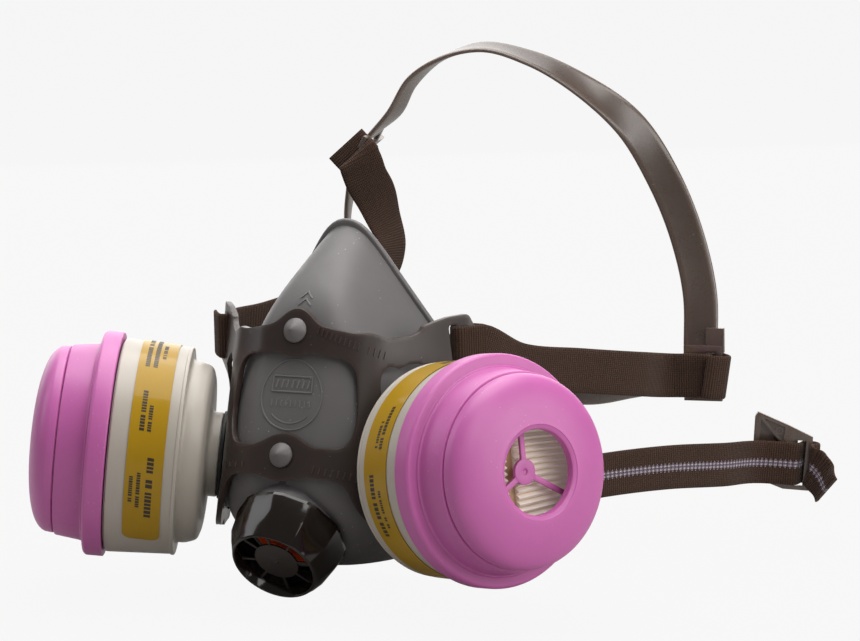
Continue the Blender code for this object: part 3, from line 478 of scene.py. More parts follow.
PRINT_SEEDS = {"R": 7, "L": 11}


def port_axis(side):
    flat = math.cos(PORT_RISE)
    return Vector((side * math.sin(PORT_SPLAY) * flat, -math.cos(PORT_SPLAY) * flat, math.sin(PORT_RISE)))


def port_frame(side):
    return axis_frame((side * PORT_PLACE[0], PORT_PLACE[1], PORT_PLACE[2]), port_axis(side))


def canister_profile():
    outer = [(NECK_BORE_R, -4.3), (16.3, -4.3), (16.3, 0.0), (29.0, 0.0), (COLLAR_R - 1.6, 1.4),
             (COLLAR_R, 6.0), (COLLAR_R, COLLAR_END), (CANISTER_BACK_R + 0.2, COLLAR_END),
             (CANISTER_BACK_R + 0.2, COLLAR_END + 1.3), (CANISTER_BACK_R - 0.1, COLLAR_END + 1.5),
             (CANISTER_FRONT_R, CANISTER_END)]
    inner = [(CANISTER_FRONT_R - CANISTER_WALL, CANISTER_END),
             (CANISTER_BACK_R - CANISTER_WALL, COLLAR_END + CANISTER_WALL),
             (COLLAR_R - CANISTER_WALL, COLLAR_END + CANISTER_WALL), (COLLAR_R - CANISTER_WALL, 6.0),
             (29.0, CANISTER_WALL), (NECK_BORE_R, CANISTER_WALL)]
    return rounded(outer, 1.6, 5) + rounded(inner, 0.3, 2)


def dome_height(radius):
    share = min(1.0, radius / DOME_RIM_R)
    return DOME_HEIGHT * (1.0 - share ** DOME_POWER) ** (1.0 / DOME_POWER)


def cover_profile():
    count = 22
    radii = [WINDOW_LIP_R + (DOME_RIM_R - 0.2 - WINDOW_LIP_R) * math.sin(math.pi / 2 * (1 - k / count))
             for k in range(count + 1)]
    outer = [(DOME_RIM_R - 0.6, DOME_START), (DOME_RIM_R, DOME_START + 0.5), (DOME_RIM_R, DOME_RIM)]
    outer += [(r, DOME_RIM + dome_height(r)) for r in radii]
    lip = DOME_RIM + dome_height(WINDOW_LIP_R)
    outer += [(WINDOW_LIP_R - 0.25, lip - 0.25), (WINDOW_LIP_R - 0.9, lip - 0.35),
              (WINDOW_R + 0.25, lip - 0.8), (WINDOW_R, lip - 1.4), (WINDOW_R, lip - DOME_WALL - 1.4)]
    inner = [(r, DOME_RIM + dome_height(r) - DOME_WALL) for r in (25.0, 31.0)]
    return outer + inner + [(33.4, DOME_RIM + 2.2), (33.4, DOME_START)]


def housing_profile():
    skirt = [(35.2, FLANGE_START), (FLANGE_R, FLANGE_START), (FLANGE_R + 0.05, FLANGE_END - 1.0),
             (FLANGE_R - 0.8, FLANGE_END), (STEP_BACK_R + 0.9, FLANGE_END),
             (STEP_BACK_R + 0.75, FLANGE_END + 0.9),
             (STEP_BACK_R + 0.1, FLANGE_END + 1.0), (STEP_BACK_R - 0.2, FLANGE_END + 1.9),
             (STEP_FRONT_R, STEP_END), (34.2, STEP_END), (35.2, FLANGE_END + 1.0)]
    return rounded(skirt, 0.5, 3)


def label_radius(height):
    slope = (CANISTER_FRONT_R - CANISTER_BACK_R) / (CANISTER_END - COLLAR_END)
    return CANISTER_BACK_R + slope * (height - COLLAR_END)


def label_point(place, along, height, lift):
    """World point on the canister's wall, along in millimetres of arc from the top."""
    radius = label_radius(height)
    return polar(place, radius + lift, math.pi / 2 + along / radius, height)


def curved_label(name, place, half_angle):
    """A thin printed band with rounded ends, wrapped round the canister."""
    half = half_angle * label_radius(LABEL_START)
    middle = (LABEL_START + LABEL_END) / 2
    steps = 170
    rows = 4
    across = [2 * k / rows - 1 for k in range(rows + 1)]
    loop = [(share, 0.10) for share in across] + [(share, 0.34) for share in reversed(across)]
    verts = []
    for i in range(steps + 1):
        along = -half * math.cos(math.pi * i / steps)
        inset = max(0.0, LABEL_CORNER - (half - abs(along)))
        width = (LABEL_END - LABEL_START) / 2 - LABEL_CORNER + math.sqrt(LABEL_CORNER ** 2 - inset ** 2)
        verts += [label_point(place, along, middle + width * share, lift) for share, lift in loop]
    return add_piece(name, verts, sweep_faces(steps + 1, len(loop)), LABEL)


# Printed rows: start and end along the label, height up it, and the bars' size.
PRINT_ROWS = ((-84.0, -60.0, 19.4, 3.0), (-80.0, -66.0, 23.4, 1.7), (-78.0, -68.0, 26.2, 1.7),
              (-50.0, -40.0, 21.2, 1.8), (-50.0, -34.0, 24.0, 2.2), (-16.0, -4.0, 19.2, 1.7),
              (-22.0, 6.0, 22.0, 2.0), (-22.0, 6.0, 25.0, 2.0), (34.0, 50.0, 24.0, 2.2),
              (40.0, 50.0, 21.2, 1.8), (60.0, 84.0, 19.4, 3.0), (66.0, 80.0, 23.4, 1.7))


def print_marks(name, place, seed):
    """Generic print: rows of small plain bars in the place of words."""
    source = random.Random(seed)
    verts = []
    faces = []
    for start, end, height, size in PRINT_ROWS:
        along = start
        while along < end:
            width = size * source.uniform(0.30, 0.50)
            if source.random() < 0.15:
                along += width
                continue
            faces += sweep_faces(2, 4, first=len(verts))
            for lift in (0.30, 0.40):
                for a, b in ((0.0, -0.42), (width, -0.42), (width, 0.42), (0.0, 0.42)):
                    verts.append(label_point(place, along + a, height + b * size, lift))
            along += width + size * 0.16
    return add_piece(name, verts, faces, INK)


def pleated_media(name, place, left, right):
    """A pack of fine pleats that run from left to right across the filter."""
    half = 20.0
    columns = 20
    per_pleat = 8
    rows = int(2 * half / PLEAT_PITCH) * per_pleat
    floor = MEDIA_TOP - PLEAT_DEPTH - 1.2
    across = [left + (right - left) * i / columns for i in range(columns + 1)]
    verts = []
    depth = []
    for j in range(rows + 1):
        y = -half + 2 * half * j / rows
        rise = (1.0 - abs(2.0 * (j % per_pleat) / per_pleat - 1.0)) ** 0.7
        top = MEDIA_TOP - PLEAT_DEPTH * (1.0 - rise)
        verts += [place @ Vector((x, y + 0.35 * math.sin(0.16 * x + 0.09 * y), top)) for x in across]
        verts += [place @ Vector((x, y, floor)) for x in reversed(across)]
        depth += [rise] * len(across) + [0.0] * len(across)
    piece = add_piece(name, verts, sweep_faces(rows + 1, 2 * len(across)), PAPER, 60)
    # The crest share at each point, which the paper's material uses to paint shade into the valleys.
    store(piece, "depth", depth)
    return piece


def filter_spider(name, place):
    """The three-armed guard under the window, with a dimpled hub."""
    start = SPIDER_START
    end = SPIDER_END
    hub = [(0.0, start), (4.8, start), (4.8, end), (1.2, end), (0.9, end - 0.6), (0.0, end - 0.6)]
    piece = turned(name, rounded(hub, 0.35), place, PINK, 40)
    ring = rounded([(30.5, start), (33.0, start), (33.0, end), (30.5, end)], 0.3)
    boolean(piece, turned("ring", ring, place, PINK, 72), "UNION")
    for k in range(3):
        spin = spun(place, math.pi / 2 + 2 * math.pi * k / 3)
        outline = [(2.0, -1.6), (5.6, -1.0), (31.5, -0.9), (31.5, 0.9), (5.6, 1.0), (2.0, 1.6)]
        boolean(piece, prism("arm", outline, start + 0.2, end - 0.15, spin, PINK), "UNION")
    bevel(piece, 0.22, 2, 40)
    return piece


def make_cartridge(side, tag):
    place = port_frame(side)
    body = "cartridge_" + tag

    def put_shell(name, node, profile, mat, angle=38):
        put(turned(name + tag, profile, place, mat, 128, angle), body, node + tag)

    put_shell("canister_", "cartridge_canister_", canister_profile(), CANISTER)
    put(curved_label("label_" + tag, place, LABEL_HALF_ANGLES[tag]), body, "cartridge_label_" + tag)
    put(print_marks("label_print_" + tag, place, PRINT_SEEDS[tag]), body)
    put_shell("filter_body_", "filter_housing_", housing_profile(), PINK)
    bed_top = MEDIA_TOP - 2.6
    bed = rounded([(0.0, MEDIA_START), (MEDIA_R, MEDIA_START), (MEDIA_R, bed_top), (0.0, bed_top)], 0.5)
    put(turned("media_glue_" + tag, bed, place, GLUE, 64), body)
    put(pleated_media("media_pleats_" + tag, place, *WIDE_PACK), body, "filter_media_" + tag)
    put(pleated_media("media_edge_" + tag, place, *NARROW_PACK), body)
    put(filter_spider("window_spider_" + tag, place), body, "filter_spider_" + tag)
    put_shell("dome_cover_", "filter_cover_", cover_profile(), PINK, 30)
    seal = rounded([(NECK_BORE_R, -6.1), (16.9, -6.1), (16.9, -4.6), (NECK_BORE_R, -4.6)], 0.5)
    put(turned("gasket_ring_" + tag, seal, place, SEAL, 72), "gasket_" + tag, "neck_gasket_" + tag)


# ====================================================== the mask's surface
# The facepiece is the soft hull of a few planes, each (unit normal, distance).
SOFTNESS = 3.6
CREASE_SOFTNESS = 0.35
CREASE_X = 13.5
CREASE_ANGLE = math.radians(20)
MASK_WALL = 2.6
CHEEK_DEPTH = 8.0
HOOD_DROP = 0.8
GUARD_PITCH = math.radians(35)
GUARD_BASE = Vector((0.0, -61.8, -43.5))
GUARD_AXIS = Vector((0.0, -math.cos(GUARD_PITCH), -math.sin(GUARD_PITCH)))


def plane(normal, point):
    unit = Vector(normal).normalized()
    return tuple(unit) + (unit.dot(Vector(point)),)


def both_sides(normal, point):
    mirror = Vector((-1.0, 1.0, 1.0))
    return [plane(normal, point), plane(Vector(normal) * mirror, Vector(point) * mirror)]


CHEEKS = both_sides(port_axis(1), Vector(PORT_PLACE) - port_axis(1) * CHEEK_DEPTH)
PANEL_NORMAL = Vector((0.0, -0.956, 0.292))
PANEL_POINT = Vector((0.0, -58.6, 8.8))
CREASED = PANEL_NORMAL * math.cos(CREASE_ANGLE) + Vector((math.sin(CREASE_ANGLE), 0.0, 0.0))
PANEL = [plane(PANEL_NORMAL, PANEL_POINT)]
PANEL += both_sides(CREASED, PANEL_POINT + Vector((CREASE_X, 0.0, 0.0)))
NOSE = [plane((0.0, -0.566, 0.824), (0.0, -46.5, 45.0))]
NOSE += both_sides((0.843, -0.162, 0.513), (7.0, -16.0, 65.5))
CHIN = [plane(GUARD_AXIS, GUARD_BASE - GUARD_AXIS * HOOD_DROP)]
CHIN += [plane((0.0, -0.05, -1.0), (0.0, -20.0, -61.5))]
JAW = both_sides((0.664, -0.358, -0.657), (38.0, -50.0, -38.0))
JAW += both_sides((0.829, 0.1, -0.56), (48.0, 0.0, -30.0))
SIDES = both_sides((1.0, 0.0, 0.0), (50.0, 0.0, 0.0))
MASK_PLANES = np.array(PANEL + CHEEKS + SIDES + NOSE + CHIN + JAW)
FORMER_PLANES = np.array(PANEL + CHEEKS + both_sides((1.0, 0.0, 0.0), (57.0, 0.0, 0.0)))
MASK_CENTRE = np.array((0.0, -22.0, -2.0))
POLE = np.array(PANEL_POINT) - MASK_CENTRE
POLE /= np.linalg.norm(POLE)


def smooth_top(values, softness):
    """Largest value of each row, rounded where two are nearly equal."""
    top = values.max(axis=1)
    return top + softness * np.log(np.exp((values - top[:, None]) / softness).sum(axis=1))


def hull_level(points, planes):
    """Distance to the soft hull, below zero inside; the first three planes meet in creases."""
    values = points @ planes[:, :3].T - planes[:, 3]
    front = smooth_top(values[:, :3], CREASE_SOFTNESS)
    return smooth_top(np.column_stack((front, values[:, 3:])), SOFTNESS)


def last_true(test, low, high):
    """Bisect each row for the largest value that still passes the test."""
    high = np.full(len(low), high)
    for _ in range(32):
        middle = 0.5 * (low + high)
        passed = test(middle)
        low = np.where(passed, middle, low)
        high = np.where(passed, high, middle)
    return low


def hull_hit(starts, directions, planes, level=0.0, reach=140.0):
    """Where rays from inside cross the hull at a level."""
    def inside(far):
        return hull_level(starts + directions * far[:, None], planes) < level

    return starts + directions * last_true(inside, np.zeros(len(starts)), reach)[:, None]


def seal_depth(x, z):
    return -12.0 + 0.122 * (67.0 - z) + 0.0025 * x * x


def ray_directions(around, tilt):
    side_dir = np.array((1.0, 0.0, 0.0))
    up_dir = -np.cross(side_dir, POLE)
    spread = np.outer(np.cos(around), side_dir) + np.outer(np.sin(around), up_dir)
    return np.outer(np.cos(tilt), POLE) + spread * np.sin(tilt)[:, None]


def rim_tilts(around):
    """Tilt at which each ray's surface point meets the seal surface."""
    starts = np.tile(MASK_CENTRE, (len(around), 1))

    def inside(tilt):
        hits = hull_hit(starts, ray_directions(around, tilt), MASK_PLANES)
        return hits[:, 1] < seal_depth(hits[:, 0], hits[:, 2])

    return last_true(inside, np.full(len(around), 0.5), 2.6)


def smooth_path(points, samples):
    """Catmull-Rom curve through rows of points."""
    padded = [2 * points[0] - points[1]] + list(points) + [2 * points[-1] - points[-2]]
    result = []
    for i in range(1, len(padded) - 2):
        a, b, c, d = padded[i - 1:i + 3]
        for k in range(samples):
            t = k / samples
            result.append(0.5 * (2 * b + (c - a) * t + (2 * a - 5 * b + 4 * c - d) * t * t
                                 + (3 * b - a - 3 * c + d) * t ** 3))
    return result + [points[-1]]


def mask_rings(columns, rows):
    """Rings of points from the outer pole, round the sealing lip, to the inner pole."""
    around = 2 * np.pi * (np.arange(columns) + 0.5) / columns
    limit = rim_tilts(around)
    starts = np.tile(MASK_CENTRE, (columns, 1))
    outer = []
    inner = []
    for i in range(1, rows + 1):
        directions = ray_directions(around, limit * i / rows)
        outer.append(hull_hit(starts, directions, MASK_PLANES))
        inner.append(hull_hit(starts, directions, MASK_PLANES, -MASK_WALL))
    rim = outer[-1]
    lip = [rim]
    for share, lift in ((-0.035, 0.4), (-0.03, 2.4), (0.07, 3.2), (0.24, 1.6), (0.24, 0.4), (0.08, 1.2)):
        x = rim[:, 0] * (1.0 - share)
        z = rim[:, 2] * (1.0 - share)
        lip.append(np.stack((x, seal_depth(x, z) + lift, z), axis=1))
    lip.append(inner[-2])
    return outer[:-1] + smooth_path(lip, 4) + list(reversed(inner[:-2]))


def add_boss(piece, place, top, bore, cup, outer):
    """Cut a port through the mask and give it a cupped rubber boss."""
    hole = [(0.0, top - 14.0), (cup, top - 14.0), (cup, top + 8.0), (0.0, top + 8.0)]
    boolean(piece, turned("hole", hole, place, RUBBER, 72), "DIFFERENCE")
    floor = top - MASK_WALL
    skirt = top - 8.6
    profile = [(bore, floor), (bore, top), (outer, top), (outer, skirt), (cup - 0.2, skirt),
               (cup - 0.2, floor)]
    boolean(piece, turned("boss", rounded(profile, 0.7), place, RUBBER, 72), "UNION")


def make_facepiece():
    columns = 180
    rings = mask_rings(columns, 40)
    levels = np.array((0.0, -MASK_WALL))
    verts = list(hull_hit(np.tile(MASK_CENTRE, (2, 1)), np.tile(POLE, (2, 1)), MASK_PLANES, levels))
    for ring in rings:
        verts += list(ring)
    faces = sweep_faces(len(rings), columns, first=2)[:-2]
    last = 2 + columns * (len(rings) - 1)
    for i in range(columns):
        j = (i + 1) % columns
        faces += [(0, 2 + i, 2 + j), (1, last + j, last + i)]
    piece = add_piece("face_mask", verts, faces, RUBBER, 50)
    for side in (1, -1):
        add_boss(piece, port_frame(side), -CHEEK_DEPTH, 14.9, 17.4, 19.6)
    add_boss(piece, axis_frame(GUARD_BASE, GUARD_AXIS), -HOOD_DROP, 13.5, 16.9, 19.5)
    soften(piece.data, 50)
    put(piece, "mask", "facepiece")


# ================================================================ the yoke
YOKE_GAP = 0.4
YOKE_THICKNESS = 2.0
YOKE_AXIS_Y = -12.0
YOKE_UNIT = 48.0
UPPER_STUD_Z = 31.6
LOWER_STUD_Z = -13.5
STUD_R = 4.65
PORT_U = 48.6
PORT_Z = -20.0
ARM_END_U = 74.0
ARM_CENTRE_U = 66.0
SLOT_U = 68.2
ARM_HALF_HEIGHT = 13.3
UPPER_ARM_Z = 22.5
LOWER_ARM_Z = -37.0
YOKE_STEP = 1.05
YOKE_LOW = -54.0
YOKE_HIGH = 44.0


def capsule(u, z, start, end, radius_start, radius_end):
    """Signed distance to a rounded bar that may taper."""
    du = end[0] - start[0]
    dz = end[1] - start[1]
    share = np.clip(((u - start[0]) * du + (z - start[1]) * dz) / (du * du + dz * dz), 0.0, 1.0)
    radius = radius_start + (radius_end - radius_start) * share
    return np.hypot(u - start[0] - du * share, z - start[1] - dz * share) - radius


def rounded_box(u, z, centre, half, corner):
    du = np.abs(u - centre[0]) - half[0] + corner
    dz = np.abs(z - centre[1]) - half[1] + corner
    outside = np.hypot(np.maximum(du, 0.0), np.maximum(dz, 0.0))
    return outside + np.minimum(np.maximum(du, dz), 0.0) - corner


def blend(first, second, reach):
    mix = np.clip(0.5 + 0.5 * (second - first) / reach, 0.0, 1.0)
    return second * (1.0 - mix) + first * mix - reach * mix * (1.0 - mix)


def yoke_outline(u, z):
    """Signed distance, in the unrolled plane, to the yoke with its slots and holes."""
    u = np.abs(u)
    shape = capsule(u, z, (0.0, UPPER_STUD_Z), (33.0, 25.2), 5.0, 4.8)
    shape = blend(shape, capsule(u, z, (33.0, 25.2), (46.0, 22.8), 4.8, 4.7), 4.0)
    shape = blend(shape, capsule(u, z, (46.0, 22.8), (68.0, 24.0), 4.7, 9.0), 4.0)
    arm_half = (ARM_END_U - ARM_CENTRE_U, ARM_HALF_HEIGHT)
    arm = rounded_box(u, z, (ARM_CENTRE_U, UPPER_ARM_Z), arm_half, 2.5)
    arm = np.maximum(arm, (z - 31.4 - 0.24 * (u - 58.0)) * 0.97)
    shape = blend(shape, arm, 5.0)
    shape = blend(shape, np.hypot(u, z - UPPER_STUD_Z) - 8.6, 5.0)
    shape = blend(shape, capsule(u, z, (30.8, 22.0), (30.6, -14.0), 4.2, 4.9), 8.0)
    shape = blend(shape, capsule(u, z, (0.0, LOWER_STUD_Z), (28.0, -17.0), 4.8, 6.0), 6.0)
    shape = blend(shape, np.hypot(u, z - LOWER_STUD_Z) - 8.4, 5.0)
    shape = blend(shape, np.hypot(u - PORT_U, z - PORT_Z) - 27.0, 6.0)
    shape = blend(shape, capsule(u, z, (67.5, 15.0), (70.5, -12.0), 4.2, 4.6), 5.0)
    shape = blend(shape, rounded_box(u, z, (ARM_CENTRE_U, LOWER_ARM_Z), arm_half, 2.5), 6.0)
    port = blend(np.hypot(u - PORT_U, z - PORT_Z) - 21.2, np.hypot(u - 50.5, z - 3.2) - 15.4, 7.0)
    shape = np.maximum(shape, -port)
    for height in (UPPER_ARM_Z, LOWER_ARM_Z):
        shape = np.maximum(shape, -rounded_box(u, z, (SLOT_U, height), (1.35, 9.0), 0.6))
    for height in (UPPER_STUD_Z, LOWER_STUD_Z):
        shape = np.maximum(shape, -(np.hypot(u, z - height) - 3.9))
    return shape


def arm_flare(u, z):
    """How far the upper arms spring away from the face."""
    along = np.clip((np.abs(u) - 40.0) / (ARM_END_U - 40.0), 0.0, 1.0)
    height = np.clip((z + 8.0) / 21.0, 0.0, 1.0)
    return 6.0 * along ** 2 * height ** 2


def former_points(u, z, lift, planes=FORMER_PLANES):
    """World points over the unrolled plane's (u, z), lift above the former or the bare mask."""
    u = np.asarray(u, float)
    z = np.asarray(z, float)
    if planes is FORMER_PLANES:
        lift = lift + arm_flare(u, z)
    angle = u / YOKE_UNIT
    directions = np.stack((np.sin(angle), -np.cos(angle), np.zeros(len(u))), axis=1)
    starts = np.stack((np.zeros(len(u)), np.full(len(u), YOKE_AXIS_Y), z), axis=1)
    return hull_hit(starts, directions, planes, lift)


def snapped(u, z):
    """Move points near the outline onto it, by a few short steps down its slope."""
    step = 0.05
    longest = 0.6
    for _ in range(6):
        slope_u = (yoke_outline(u + step, z) - yoke_outline(u - step, z)) / (2 * step)
        slope_z = (yoke_outline(u, z + step) - yoke_outline(u, z - step)) / (2 * step)
        steepness = np.maximum(0.25, slope_u ** 2 + slope_z ** 2)
        move = np.clip(yoke_outline(u, z), -longest, longest) / steepness
        u = u - move * slope_u
        z = z - move * slope_z
    return u, z


def yoke_cells():
    """Grid cells whose centres lie inside the yoke's outline."""
    across = int(ARM_END_U / YOKE_STEP) + 2
    rows = np.arange(int(YOKE_LOW / YOKE_STEP), int(YOKE_HIGH / YOKE_STEP) + 1)
    i, j = np.meshgrid(np.arange(-across, across), rows, indexing="ij")
    inside = yoke_outline((i + 0.5) * YOKE_STEP, (j + 0.5) * YOKE_STEP) < 0.0
    return set(zip(i[inside].tolist(), j[inside].tolist()))


def yoke_faces(cells, index):
    """Both skins and the walls round every edge, from the index of each grid corner."""
    count = len(index)
    faces = []
    for i, j in sorted(cells):
        loop = [index[(i, j)], index[(i + 1, j)], index[(i + 1, j + 1)], index[(i, j + 1)]]
        faces.append(tuple(reversed(loop)))
        faces.append(tuple(n + count for n in loop))
        for k, other in enumerate(((i, j - 1), (i + 1, j), (i, j + 1), (i - 1, j))):
            if other not in cells:
                a = loop[k]
                b = loop[(k + 1) % 4]
                faces.append((a, b, b + count, a + count))
    return faces


def make_yoke():
    cells = yoke_cells()
    users = Counter((i + a, j + b) for i, j in cells for a in (0, 1) for b in (0, 1))
    keys = sorted(users)
    flat = np.array(keys, float) * YOKE_STEP
    rim = np.array([users[key] < 4 for key in keys])[:, None]
    flat = np.where(rim, np.column_stack(snapped(flat[:, 0], flat[:, 1])), flat)
    verts = []
    for lift in (YOKE_GAP, YOKE_GAP + YOKE_THICKNESS):
        verts += list(former_points(flat[:, 0], flat[:, 1], lift))
    faces = yoke_faces(cells, {key: n for n, key in enumerate(keys)})
    piece = add_piece("yoke", verts, faces, YOKE, 40)
    bevel(piece, 0.32, 2, 55, 30)
    put(piece, "mask", "harness_yoke")


# ---------------------------------------------------- moulded relief marks
def relief(name, paths, mat, base, planes=FORMER_PLANES):
    """Raised strokes on the surface: each path is ((u, z) points, width, height)."""
    verts = []
    faces = []
    for points, width, height in paths:
        line = dense(points, 0.6)
        run = np.gradient(line, axis=0)
        side = np.column_stack((-run[:, 1], run[:, 0])) / np.hypot(run[:, 0], run[:, 1])[:, None]
        loops = []
        for share, lift in ((-0.5, -0.35), (-0.32, height), (0.32, height), (0.5, -0.35)):
            spots = line + side * width * share
            loops.append(former_points(spots[:, 0], spots[:, 1], base + lift, planes))
        faces += sweep_faces(len(line), len(loops), first=len(verts))
        verts += list(np.stack(loops, axis=1).reshape(-1, 3))
    put(add_piece(name, verts, faces, mat), "mask")


def dense(points, step):
    """Resample a polyline at about the given step."""
    points = np.array(points, float)
    result = [points[0]]
    for a, b in zip(points, points[1:]):
        count = max(1, int(np.linalg.norm(b - a) / step))
        for k in range(1, count + 1):
            result.append(a + (b - a) * k / count)
    return np.array(result)


def circle(centre, radius, start=0.0, end=360.0, steps=90):
    angles = np.radians(np.linspace(start, end, steps))
    return [(centre[0] + radius * math.cos(a), centre[1] + radius * math.sin(a)) for a in angles]


def tick_row(start, end, count, height):
    """A row of plain upright ticks."""
    run = Vector(end) - Vector(start)
    tall = Vector((-run.y, run.x)).normalized() * height
    spots = [Vector(start) + run * (k / (count - 1)) for k in range(count)]
    return [([spot, spot + tall], 0.6, 0.4) for spot in spots]


def make_marks():
    """Generic raised marks: a ring, a hatched box, rows of ticks and two chevrons."""
    ring = (0.0, 8.8)
    panel = [(circle(ring, 12.8), 0.55, 0.3), (circle(ring, 10.4, 225, 315, 40), 0.5, 0.2)]
    panel.append(([(-8.6, 9.8), (8.6, 9.8), (8.6, 15.4), (-8.6, 15.4), (-8.6, 9.8)], 0.6, 0.35))
    panel += [([(-7.1 + 2.3 * k, 11.2), (-6.3 + 2.3 * k, 14.0)], 1.0, 0.35) for k in range(7)]
    panel += [([(-8.0 + 2.0 * k, 4.4), (-8.0 + 2.0 * k, 6.8)], 0.7, 0.25) for k in range(9)]
    relief("panel_relief", panel, RUBBER, 0.0, MASK_PLANES)
    chevrons = [([(-3.6, z), (0.0, z + 2.2), (3.6, z)], 0.6, 0.3) for z in (41.0, 43.4)]
    relief("size_relief", chevrons, RUBBER, 0.0, MASK_PLANES)
    top = YOKE_GAP + YOKE_THICKNESS
    rows = (((10.5, 31.6), (27.0, 25.6), 10, 2.6), ((31.0, 24.0), (37.5, 21.6), 4, 2.8),
            ((11.0, -18.6), (26.5, -22.4), 9, 2.7), ((-24.0, -20.0), (-14.0, -18.0), 4, 1.8))
    relief("yoke_relief", [tick for row in rows for tick in tick_row(*row)], YOKE, top)


def make_studs():
    """Domed rubber buttons with a low cone, through the yoke's two round holes."""
    under = YOKE_GAP + YOKE_THICKNESS + 0.1
    dome = [(STUD_R * (1.0 - k / 12), under + 0.9 + 3.2 * (1.0 - (1.0 - k / 12) ** 1.3)) for k in range(12)]
    neck = [(0.0, -1.0), (3.2, -1.0), (3.2, under), (4.5, under), (4.72, under + 0.35)]
    profile = neck + dome + [(0.0, under + 4.15)]
    for name, height in (("stud_upper", UPPER_STUD_Z), ("stud_lower", LOWER_STUD_Z)):
        place = axis_frame(former_points([0.0], [height], 0.0)[0], MASK_PLANES[0][:3])
        put(turned(name, profile, place, STUD, 56, 50), "mask")


# ========================================================= exhalation valve
GUARD_SIDES = 10
GUARD_BASE_R = 21.9
GUARD_WAIST_R = 20.9
GUARD_WAIST = 8.6
GUARD_FRONT_R = 16.6
GUARD_LENGTH = 18.0
GUARD_BORE_R = 14.4
GRILLE_FACE = 15.0
HUB_R = 8.8


def facet_radius(radius, offset, middle, half):
    """Radius of a flat side at an angle, from the side's own middle."""
    return radius * math.cos(half) / math.cos(offset - middle)


def guard_levels(offset, turn, split):
    """(radius, height) all the way round the shell's section at one angle."""
    wide = abs(offset) <= turn / 2 - split
    nearest = 0.0 if wide else math.copysign(turn / 2, offset)
    base = facet_radius(GUARD_BASE_R, offset, nearest, turn / 2 - split if wide else split)
    waist = facet_radius(GUARD_WAIST_R, offset, 0.0, turn / 2)
    half_way = 0.5 * (waist + GUARD_FRONT_R + 0.5)
    front = GUARD_LENGTH
    return [(base, -0.5), (base, 1.0), (waist, GUARD_WAIST), (half_way, 0.5 * (GUARD_WAIST + front)),
            (GUARD_FRONT_R + 0.25, front - 0.6), (GUARD_FRONT_R - 0.15, front - 0.1),
            (GUARD_FRONT_R - 0.5, front), (GUARD_BORE_R + 1.3, front - 0.3),
            (GUARD_BORE_R, GRILLE_FACE - 1.0), (18.0, GUARD_WAIST - 1.0), (18.6, -0.5)]


def make_guard():
    """A glossy shell: flat facets at its waist that fade into a round front rim."""
    place = axis_frame(GUARD_BASE, GUARD_AXIS)
    turn = 2 * math.pi / GUARD_SIDES
    split = 0.15 * turn
    shares = (-0.5, -0.35, -0.2333, -0.1167, 0.0, 0.1167, 0.2333, 0.35)
    verts = []
    for side in range(GUARD_SIDES):
        for share in shares:
            angle = math.pi / 2 + turn * (side + 0.35 + share)
            levels = guard_levels(share * turn, turn, split)
            verts += [polar(place, radius, angle, height) for radius, height in levels]
    faces = sweep_faces(GUARD_SIDES * len(shares), len(levels), closed=True)
    piece = add_piece("guard_shell", verts, faces, GUARD, 11)
    bevel(piece, 0.22, 2, 19, 11)
    put(piece, "guard", "valve_guard")
    back = GRILLE_FACE - 0.9
    hub = [(0.0, back), (HUB_R, back), (HUB_R, GRILLE_FACE), (1.1, GRILLE_FACE), (0.7, GRILLE_FACE + 0.6),
           (0.0, GRILLE_FACE + 0.7)]
    put(turned("guard_hub", rounded(hub, 0.3), place, GUARD_MATT, 64), "guard")
    for k in range(8):
        spin = spun(place, math.pi / 2 + 2 * math.pi * k / 8)
        reach = (GUARD_BORE_R + 0.9, 0.5, GRILLE_FACE - 0.2)
        spoke = box("guard_spoke_%d" % k, (8.0, -0.5, back), reach, spin, GUARD_MATT)
        bevel(spoke, 0.15)
        put(spoke, "guard")
    flap = rounded([(0.0, 2.9), (12.9, 2.9), (12.9, 3.6), (3.0, 3.9), (2.2, 5.2), (0.0, 5.4)], 0.3)
    put(turned("valve_flap", flap, place, RED, 64), "exhalation_flap", "exhalation_valve")


# ================================================================== harness
STRAP_WIDTH = 17.5
STRAP_THICKNESS = 1.5
BAND_WIDTH = 13.5
BAND_THICKNESS = 1.7
SLOT_HALF_WIDTH = 1.7
SLOT_HALF = 9.3
SECOND_SLOT = -6.8
PLATE_END = 4.2


def tangents(values, spans):
    slopes = [(b - a) / span for a, b, span in zip(values, values[1:], spans)]
    inner = [(first * after + second * before) / (before + after)
             for first, second, before, after in zip(slopes, slopes[1:], spans, spans[1:])]
    return slopes[:1] + inner + slopes[-1:]


def spline(values, spans, samples):
    """Smooth samples through values that lie the given spans apart."""
    slopes = tangents(values, spans)
    result = []
    for i, span in enumerate(spans):
        for n in range(samples):
            t = n / samples
            u = 1.0 - t
            result.append(values[i] * (u * u * (1 + 2 * t)) + slopes[i] * (span * t * u * u)
                          + values[i + 1] * (t * t * (3 - 2 * t)) - slopes[i + 1] * (span * t * t * u))
    return result + [values[-1]]


def section(width, thickness, crown=0.0):
    """Cross-section of a strip: flat faces with rounded edges."""
    half = width / 2
    radius = thickness / 2
    upper = []
    count = 8
    for k in range(count + 1):
        s = -1 + 2 * k / count
        upper.append((s * (half - radius), radius + crown * (1 - s * s)))
    shoulder = half - 0.25 * radius
    tip = [(shoulder, radius * 0.6), (half, 0.0), (shoulder, -radius * 0.6)]
    lower = [(s, -t + 2 * crown * (1 - (s / (half - radius)) ** 2)) for s, t in reversed(upper)]
    return upper + tip + lower + [(-a, -b) for a, b in tip]


